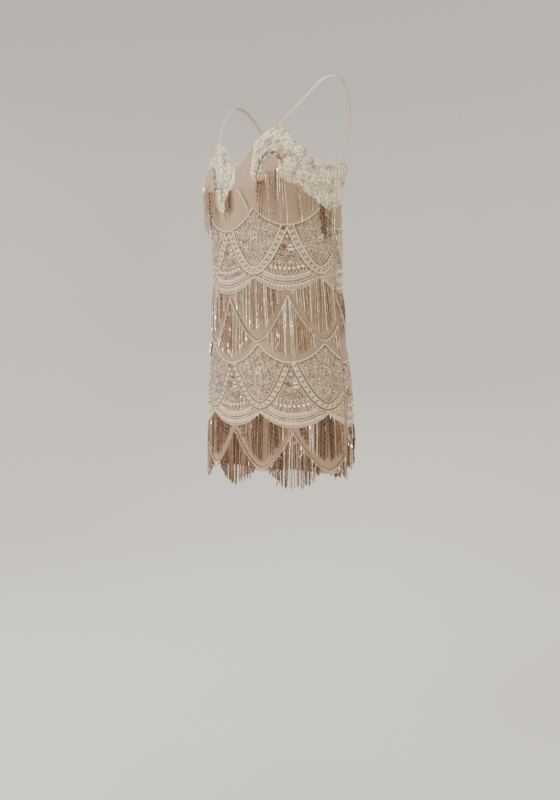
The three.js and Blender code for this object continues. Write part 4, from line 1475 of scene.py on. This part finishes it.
# Rows of beads in a fan: rise over the rim, reach, spacing, size, lift, tone (None: light and dark in turn)
FAN_ROWS = (
    (10.6, 50.0, 3.2, (2.0, 2.0, 1.8), 1.9, None),
    (2.6, 50.0, 3.2, (2.0, 2.0, 1.8), 1.9, 0.62),
    (20.3, 46.0, 2.4, (2.0, 2.0, 1.8), 2.0, 0.98),
    (31.5, 40.0, 3.0, (2.4, 2.4, 2.0), 1.8, None),
    (46.0, 27.0, 3.4, (2.8, 2.8, 2.2), 1.7, None),
)
# Rows of pearls: rise, reach, spacing (of the large pearls as a share of their width) and size
LARGE_PEARL_ROW = (38.0, 33.0, 1.5)
SMALL_PEARL_ROW = (6.8, 50.0, 6.4, (3.5, 3.5, 2.8))
# Flat bars of a fan: from its middle, depth, length, width and tone
FAN_BARS = (
    (7.0, 37.0, 11.0, 4.2, 1.0),
    (9.0, 44.0, 15.0, 4.8, 1.0),
    (-8.0, 36.5, 10.0, 4.0, 0.1),
    (-6.5, 42.5, 12.0, 4.0, 0.14),
    (-14.0, 48.5, 9.0, 3.2, 0.4),
)
# The boss at the top of a fan: depth, number and radius of its ring's beads
BOSS_DEPTH = 21
BOSS_BEADS = 10
BOSS_RADIUS = 5.2


def fan_row(heap, panel, form, line, pitch, size, lift, tone, material):
    """One row of beads along a line of a fan"""
    if len(line) < 4:
        return
    places, angle = spaced(line, pitch)
    if tone is None:
        tone = np.where(np.arange(len(places)) % 2, 0.95, 0.02)
    heap.lay(panel, form, places, size, lift, angle, tone, material)


def fan_beads(heap, panel, top, middle, pearl):
    """Rows of pearls and seeds, flat bars and a boss in one fan"""
    rise, reach, share = LARGE_PEARL_ROW
    fan_row(heap, panel, "pearl", fan_line(panel, top, middle, rise, reach), pearl * share,
            (pearl, pearl, pearl * 0.85), 1.0 + pearl * 0.4, 1.0, 1)
    rise, reach, pitch, size = SMALL_PEARL_ROW
    fan_row(heap, panel, "pearl", fan_line(panel, top, middle, rise, reach), pitch, size, 2.3, 0.95, 1)
    for rise, reach, pitch, size, lift, tone in FAN_ROWS:
        fan_row(heap, panel, "seed", fan_line(panel, top, middle, rise, reach), pitch, size, lift, tone, 0)
    for aside, depth, length, wide, tone in FAN_BARS:
        if abs(middle + aside) < panel.half - 9:
            heap.lay(panel, "leaf", [(middle + aside, top - depth)], (length, wide, 2.4), 1.5, 0.2, tone)
    if abs(middle) < panel.half - 8:
        angle = np.arange(BOSS_BEADS) * 2 * np.pi / BOSS_BEADS
        spokes = np.column_stack([np.cos(angle), np.sin(angle)])
        ring = np.array([middle, top - BOSS_DEPTH]) + BOSS_RADIUS * spokes
        heap.lay(panel, "seed", ring, (2.6, 2.6, 2.2), 1.8, 0, 0.08)
        heap.lay(panel, "pearl", [(middle, top - BOSS_DEPTH)], (4.8, 4.8, 3.8), 2.6, 0, 0.8, 1)


def flower_beads(heap, panel, s, z, radius, petals, rng):
    """A flower of padded petals with a dark ring and a pearl in its middle"""
    angle = rng.random() * 6.3 + np.arange(petals) * 2 * np.pi / petals
    ring = np.array([s, z]) + radius * 0.62 * np.column_stack([np.cos(angle), np.sin(angle)])
    inside = np.abs(ring[:, 0]) < panel.half - 3
    tone = 0.5 + 0.4 * rng.random(petals)
    long = radius * (0.75 + 0.4 * rng.random((petals, 1))) * (1, 0.66, 0) + (0, 0, 1.5)
    turn = angle[inside] + rng.normal(0, 0.25, inside.sum())
    heap.lay(panel, "leaf", ring[inside], long[inside], 0.9, turn, tone[inside])
    if abs(s) < panel.half - 3:
        heap.lay(panel, "seed", [(s, z)], (radius * 0.75, radius * 0.75, 1.4), 1.6, 0, 0.06)
        heap.lay(panel, "seed", [(s, z)], (radius * 0.32,) * 3, 2.2, 0, 0.9, 1)


# A spray inside each U: from the U's middle line and the tier's top, then radius and petals
SPRAY_FLOWERS = [
    (0, 17, 5.5, 5), (0, -14, 9.5, 7), (0, -50, 7.0, 6), (24, -4, 6.5, 6), (-24, -4, 6.5, 6),
    (40, -14, 4.6, 5), (-40, -14, 4.6, 5), (19, -33, 6.0, 6), (-19, -33, 6.0, 6),
]
# Curved stems, drawn to both sides: start, bend and end
SPRAY_STEMS = [
    ((0, -24), (16, -20), (22, -9)),
    ((0, -24), (22, -26), (38, -18)),
    ((0, -42), (14, -44), (18, -38)),
    ((0, 10), (10, 6), (21, 0)),
    ((4, 24), (14, 14), (26, 8)),
    ((8, -58), (22, -50), (30, -36)),
]
# Beads of a stem and its leaves: length, width and height, and their spacing
STEM_SEED = (1.9, 1.9, 1.8)
STEM_SEED_PITCH = 2.3
STEM_LEAF = (6.2, 2.6, 1.5)
STEM_LEAF_PITCH = 7.0
STEM_LEAF_OUT = 3.4
STEM_LEAF_TURN = 0.8


def spray_beads(heap, panel, top, middle, rng):
    """Flowers and stems with leaves inside one U of a ladder band"""
    for ds, dz, radius, petals in SPRAY_FLOWERS:
        flower_beads(heap, panel, middle + ds, top + dz, radius, petals, rng)
    t = np.linspace(0, 1, 24)[:, None]
    for way in (-1, 1):
        for stem in SPRAY_STEMS:
            start, bend, end = np.array(stem) * (way, 1)
            line = (1 - t) ** 2 * start + 2 * t * (1 - t) * bend + t**2 * end + np.array([middle, top])
            line = clip_line(line, panel, 4)
            if len(line) < 6:
                continue
            places, angle = spaced(line, STEM_SEED_PITCH)
            tone = 0.3 + 0.3 * rng.random(len(places))
            heap.lay(panel, "seed", places, STEM_SEED, 1.4, angle, tone)
            places, angle = spaced(line, STEM_LEAF_PITCH)
            for turn in (STEM_LEAF_TURN, -STEM_LEAF_TURN):
                out = np.column_stack([np.cos(angle + turn), np.sin(angle + turn)])
                tone = 0.5 + 0.4 * rng.random(len(places))
                heap.lay(panel, "leaf", places + STEM_LEAF_OUT * out, STEM_LEAF, 1.3, angle + turn, tone)


# Loose beads: spacing, how far each is out of line, and how far they stay from the ground's edges
SPECKLE_STEP = 4.6
SPECKLE_STRAY = 0.9
SPECKLE_INSET = 3


def speckle(heap, panel, top, rng):
    """Loose beads all over a tier's ground, pale, plain and dark ones"""
    step, inset = SPECKLE_STEP, SPECKLE_INSET
    across = np.arange(-panel.half + inset, panel.half - inset, step)
    s, z = np.meshgrid(across, np.arange(-118, 36, step * 0.87))
    s = s + (np.arange(len(s)) % 2)[:, None] * step / 2
    places = np.column_stack([s.ravel(), top + z.ravel()]) + rng.normal(0, SPECKLE_STRAY, (s.size, 2))
    s, z = places.T
    inside = ((z > rim_z(panel, top, s) + inset) & (z < scallop_z(panel, top, s) - inset)
              & (np.abs(s) < panel.half - inset))
    places = places[inside]
    kind = rng.random(len(places))
    tone = np.where(kind < 0.3, 1.0, np.where(kind < 0.52, 0.03, 0.45 + 0.25 * rng.random(len(places))))
    size = 2.1 + 1.2 * rng.random((len(places), 1)) * np.ones(3) * (1, 1, 0.7)
    heap.lay(panel, "chip", places, size, 1.0, rng.random(len(places)) * 3, tone)


# Rows along a tier's lines: spacing, size, lift, lowest and highest tone
SCALLOP_ROW = (2.7, (2.3, 2.3, 2.0), 2.0, 0.7, 1.0)
PICOT_ROW = (3.4, (3.0, 3.4, 2.6), 1.9, 0.6, 0.9)
LADDER_ROW = (2.7, (2.1, 2.1, 1.8), 1.8, 0.6, 0.9)
PICOT_DROP = 0.6
# Rungs of a ladder band: their spacing, and how far off the middle its edges and dark beads lie
RUNG_PITCH = 10.5
LADDER_EDGE = 4.5
DARK_RUNG_OFF = 1.6
DARK_RUNG = (3.1, 2.8, 2.2)
PALE_RUNG = (3.0, 3.0, 2.2)


def bead_row(heap, panel, line, rng, pitch, size, lift, low, high):
    """A row of seed beads along a line, in tones between two"""
    line = clip_line(line, panel, 2.5)
    if len(line) > 3:
        places, angle = spaced(line, pitch)
        heap.lay(panel, "seed", places, size, lift, angle, low + (high - low) * rng.random(len(places)))


class DRESS_OT_beads(bpy.types.Operator):
    """Seed beads, pearls and bead flowers on the bands, in the fans and inside the U shapes"""

    bl_idname = "dress.beads"
    bl_label = "Bead embroidery"

    def execute(self, context):
        pearl = mm(context.scene.dress_sizes.pearl)
        for p, panel in enumerate((FRONT, BACK)):
            for t, (name, tier) in enumerate(TIERS.items()):
                rng = np.random.default_rng(SEED + 40 + 10 * p + t)
                self.embroider(panel, name, tier, pearl, rng)
        return {"FINISHED"}

    def embroider(self, panel, name, tier, pearl, rng):
        lines, top = tier_lines(panel, tier), tier["top"]
        heap = Heap()
        speckle(heap, panel, top, rng)
        bead_row(heap, panel, lines["scallop"], rng, *SCALLOP_ROW)
        bead_row(heap, panel, beside(lines["rim"], -PICOT_DROP), rng, *PICOT_ROW)
        for _, line in lines["bands"]:
            for way in (-1, 1):
                bead_row(heap, panel, beside(line, way * LADDER_EDGE), rng, *LADDER_ROW)
                off = beside(line, way * DARK_RUNG_OFF)
                places, angle = spaced(clip_line(off, panel, 4), RUNG_PITCH)
                heap.lay(panel, "seed", places, DARK_RUNG, 2.0, angle, 0.0)
            places, angle = spaced(clip_line(line, panel, 4), RUNG_PITCH, 0.0)
            heap.lay(panel, "seed", places, PALE_RUNG, 2.0, angle, 1.0)
        for middle, _ in lines["bands"]:
            spray_beads(heap, panel, top, middle, rng)
        for middle in lines["fans"]:
            fan_beads(heap, panel, top, middle, pearl)
        heap.piece(f"{name}_beads_{panel.name}", "bead_embroidery", ["champagne_seeds", "bead_pearls"])


# Fringe: how near the side seams it goes, how far a root and a tip stray, the shortest strand that is
# sewn on and the share that is left of all, and how far the layers lie off the cloth
FRINGE_INSET = 2.5
STRAND_STRAY = 0.55
TIP_STRAY = 2.4
STRAND_SHORTEST = 9
STRANDS_KEPT = 0.94
RIM_LIFT = 1.4
SWAG_LIFT = 1.6
LAYER_LIFT = 1.5
# Rows of beads along a swag: distance from its line, spacing, width and tone
SWAG_ROWS = ((0.0, 2.5, 2.9, 0.62), (2.2, 2.6, 1.7, 0.1), (-2.1, 2.6, 1.6, 0.98))
SWAG_BEAD_HEIGHT = 2.3


def swag_tips(panel, tier, s):
    """Lower ends of the strands under a swag"""
    side = SIDE_TIP_RISE * ((np.abs(s) > SIDE_START) & (panel.sign < 0))
    return tier["top"] - tier["tip"] + FAN_TIP_RISE * (from_fan(panel, s) / FAN_REACH) ** 2 + side


class DRESS_OT_fringe(bpy.types.Operator):
    """Long bead fringe from each tier's rim and from its swag, with the swag's own bead line"""

    bl_idname = "dress.fringe"
    bl_label = "Bead fringe"

    def execute(self, context):
        sizes = context.scene.dress_sizes
        for p, panel in enumerate((FRONT, BACK)):
            for t, (name, tier) in enumerate(TIERS.items()):
                rng = np.random.default_rng(SEED + 80 + 10 * p + t)
                self.rim_strands(sizes, panel, name, tier, rng)
                self.swag_strands(sizes, panel, name, tier, rng)
        return {"FINISHED"}

    def strands(self, sizes, heap, panel, tier, rng, root_of, tip_of, lift, tone):
        """One layer of strands over a whole panel, where there is room between root and tip"""
        limit = panel.half - FRINGE_INSET
        s = np.arange(-limit, limit, mm(sizes.strand_pitch) * tier["spacing"])
        s = (s + rng.normal(0, STRAND_STRAY, len(s))).clip(-limit, limit)
        root, tip = root_of(s), tip_of(s)
        kept = (root - tip > STRAND_SHORTEST) & (rng.random(len(s)) < STRANDS_KEPT)
        s, root, tip = s[kept], root[kept], tip[kept] + rng.normal(0, TIP_STRAY, kept.sum())
        tones = strand_tones(s, tone, rng, tier["silver"])
        hang_strands(heap, panel, s, root, tip, lift, rng, tones, strand_beads(sizes))

    def rim_strands(self, sizes, panel, name, tier, rng):
        def root_of(s):
            return rim_z(panel, tier["top"], s) - 0.5

        def tip_of(s):
            return swag_z(panel, tier["top"], tier["swag"], s) + RIM_CLEAR

        heap = Heap()
        self.strands(sizes, heap, panel, tier, rng, root_of, tip_of, RIM_LIFT, tier["tone"])
        heap.piece(f"{name}_rim_strands_{panel.name}", "bead_fringe", FRINGE_BEADS,
                   [f"{name}_fringe_{panel.name}"])

    def swag_strands(self, sizes, panel, name, tier, rng):
        def swag(s):
            return swag_z(panel, tier["top"], tier["swag"], s)

        def root_of(s):
            return swag(s) - 1.5

        def tip_of(s):
            return np.where(from_fan(panel, s) < FAN_REACH + 2, swag_tips(panel, tier, s), 0.0)

        heap = Heap()
        for layer in range(tier["layers"]):
            lift = SWAG_LIFT + LAYER_LIFT * layer
            tone = tier["tone"] - 0.04 + 0.08 * layer
            self.strands(sizes, heap, panel, tier, rng, root_of, tip_of, lift, tone)
        line = line_of(swag, -panel.half + FRINGE_INSET, panel.half - FRINGE_INSET)
        for offset, pitch, size, tone in SWAG_ROWS:
            places, angle = spaced(clip_line(beside(line, offset), panel), pitch)
            tones = (tone + 0.14 * rng.random(len(places))).clip(0, 1)
            heap.lay(panel, "seed", places, (size, size, SWAG_BEAD_HEIGHT), 2.0, angle, tones, 1)
        heap.piece(f"{name}_swag_strands_{panel.name}", "bead_fringe", FRINGE_BEADS,
                   [f"{tier['swag_node']}_{panel.name}"])


# Camera: 42 degrees off the front, level, 1.44 m from the middle of the dress
VIEW_ANGLE = math.radians(42)
VIEW_DISTANCE = 1.440
VIEW_HEIGHT = -0.557
FOCAL_PIXELS = 720.0
IMAGE_HEIGHT = 800.0
HORIZON_ROW = 370.0
SENSOR_WIDTH = 36.0
# Floor: its height and flat radius, the cove that turns up from it and the top of its wall, in metres
FLOOR_Z = -1.36
FLOOR_RADIUS = 2.0
COVE = 1.2
WALL_TOP = 3.2
# Each soft light: place, width and power, all aimed at the middle of the dress
LIGHT_AIM = (0, AXIS_Y * MM, -0.42)
LIGHTS = {
    "key": ((-1.1, -2.1, 1.1), 1.3, 54.0),
    "fill": ((2.3, -0.6, 0.5), 1.4, 9.0),
    # Level with the dress, because upright beads mirror only what is level with them
    "level_left": ((-1.7, -1.7, -0.5), 0.3, 12.0),
    "level_right": ((2.1, -1.3, -0.5), 0.3, 10.0),
    "top": ((-0.3, 0.2, 1.7), 1.8, 34.0),
    "rear": ((-1.2, 2.2, 0.7), 1.5, 30.0),
}
WORLD_COLOUR = "#F1EBE3"
WORLD_STRENGTH = 0.82


class DRESS_OT_stage(bpy.types.Operator):
    """Pale floor that turns up all round, soft lights and the camera at the photograph's angle"""

    bl_idname = "dress.stage"
    bl_label = "Stage"

    def execute(self, context):
        self.floor(context.scene)
        self.lights(context.scene)
        self.camera(context.scene)
        return {"FINISHED"}

    def floor(self, scene):
        bm = bmesh.new()
        profile = [(0.0, 0.0), (FLOOR_RADIUS, 0.0)]
        for a in np.linspace(0.15, math.pi / 2, 10):
            profile.append((FLOOR_RADIUS + COVE * math.sin(a), COVE - COVE * math.cos(a)))
        profile.append((FLOOR_RADIUS + COVE, WALL_TOP))
        verts = [bm.verts.new((x, 0, FLOOR_Z + z)) for x, z in profile]
        edges = [bm.edges.new(pair) for pair in zip(verts, verts[1:])]
        bmesh.ops.spin(bm, geom=verts + edges, cent=(0, 0, 0), axis=(0, 0, 1), angle=2 * math.pi,
                       steps=72, use_merge=True)
        bmesh.ops.remove_doubles(bm, verts=bm.verts, dist=1e-5)
        bmesh.ops.recalc_face_normals(bm, faces=bm.faces)
        mesh = bpy.data.meshes.new("pale_floor")
        bm.to_mesh(mesh)
        bm.free()
        mesh.shade_smooth()
        mesh.materials.append(finish_of("matt_floor"))
        floor = bpy.data.objects.new("pale_floor", mesh)
        scene.collection.objects.link(floor)

    def lights(self, scene):
        scene.world = bpy.data.worlds.new("soft_studio")
        scene.world.use_nodes = True
        set_inputs(scene.world.node_tree.nodes["Background"],
                   Color=(*to_linear(WORLD_COLOUR), 1), Strength=WORLD_STRENGTH)
        for name, (place, width, power) in LIGHTS.items():
            data = bpy.data.lights.new(name, "AREA")
            data.shape, data.size, data.energy = "DISK", width, power
            lamp = bpy.data.objects.new(name, data)
            lamp.location = place
            aim = Vector(LIGHT_AIM) - Vector(place)
            lamp.rotation_euler = aim.to_track_quat("-Z", "Y").to_euler()
            scene.collection.objects.link(lamp)

    def camera(self, scene):
        data = bpy.data.cameras.new("camera")
        data.sensor_width = SENSOR_WIDTH
        data.lens = FOCAL_PIXELS / IMAGE_HEIGHT * SENSOR_WIDTH
        data.shift_y = (HORIZON_ROW - IMAGE_HEIGHT / 2) / IMAGE_HEIGHT
        camera = bpy.data.objects.new("camera", data)
        across, ahead = VIEW_DISTANCE * math.sin(VIEW_ANGLE), VIEW_DISTANCE * math.cos(VIEW_ANGLE)
        camera.location = (across, AXIS_Y * MM - ahead, VIEW_HEIGHT)
        camera.rotation_euler = (math.pi / 2, 0, VIEW_ANGLE)
        scene.collection.objects.link(camera)
        scene.camera = camera


OPERATORS = (
    DRESS_OT_stage, DRESS_OT_straps, DRESS_OT_cloth, DRESS_OT_lace, DRESS_OT_bust,
    DRESS_OT_bands, DRESS_OT_beads, DRESS_OT_fringe,
)


class DRESS_PT_panel(bpy.types.Panel):
    bl_label = "Dress"
    bl_idname = "DRESS_PT_panel"
    bl_space_type = "VIEW_3D"
    bl_region_type = "UI"
    bl_category = "Dress"

    def draw(self, context):
        for item in OPERATORS:
            self.layout.operator(item.bl_idname)
        for group in (context.scene.dress_sizes, context.scene.dress_colours):
            for name in type(group).__annotations__:
                self.layout.prop(group, name)


CLASSES = (DressSizes, DressColours, *OPERATORS, DRESS_PT_panel)


def register():
    for item in CLASSES:
        bpy.utils.register_class(item)
    bpy.types.Scene.dress_sizes = bpy.props.PointerProperty(type=DressSizes)
    bpy.types.Scene.dress_colours = bpy.props.PointerProperty(type=DressColours)


def unregister():
    del bpy.types.Scene.dress_sizes
    del bpy.types.Scene.dress_colours
    for item in reversed(CLASSES):
        bpy.utils.unregister_class(item)


def main():
    register()
    for name in ("stage", "straps", "cloth", "lace", "bust", "bands", "beads", "fringe"):
        getattr(bpy.ops.dress, name)()


if __name__ == "__main__":
    main()
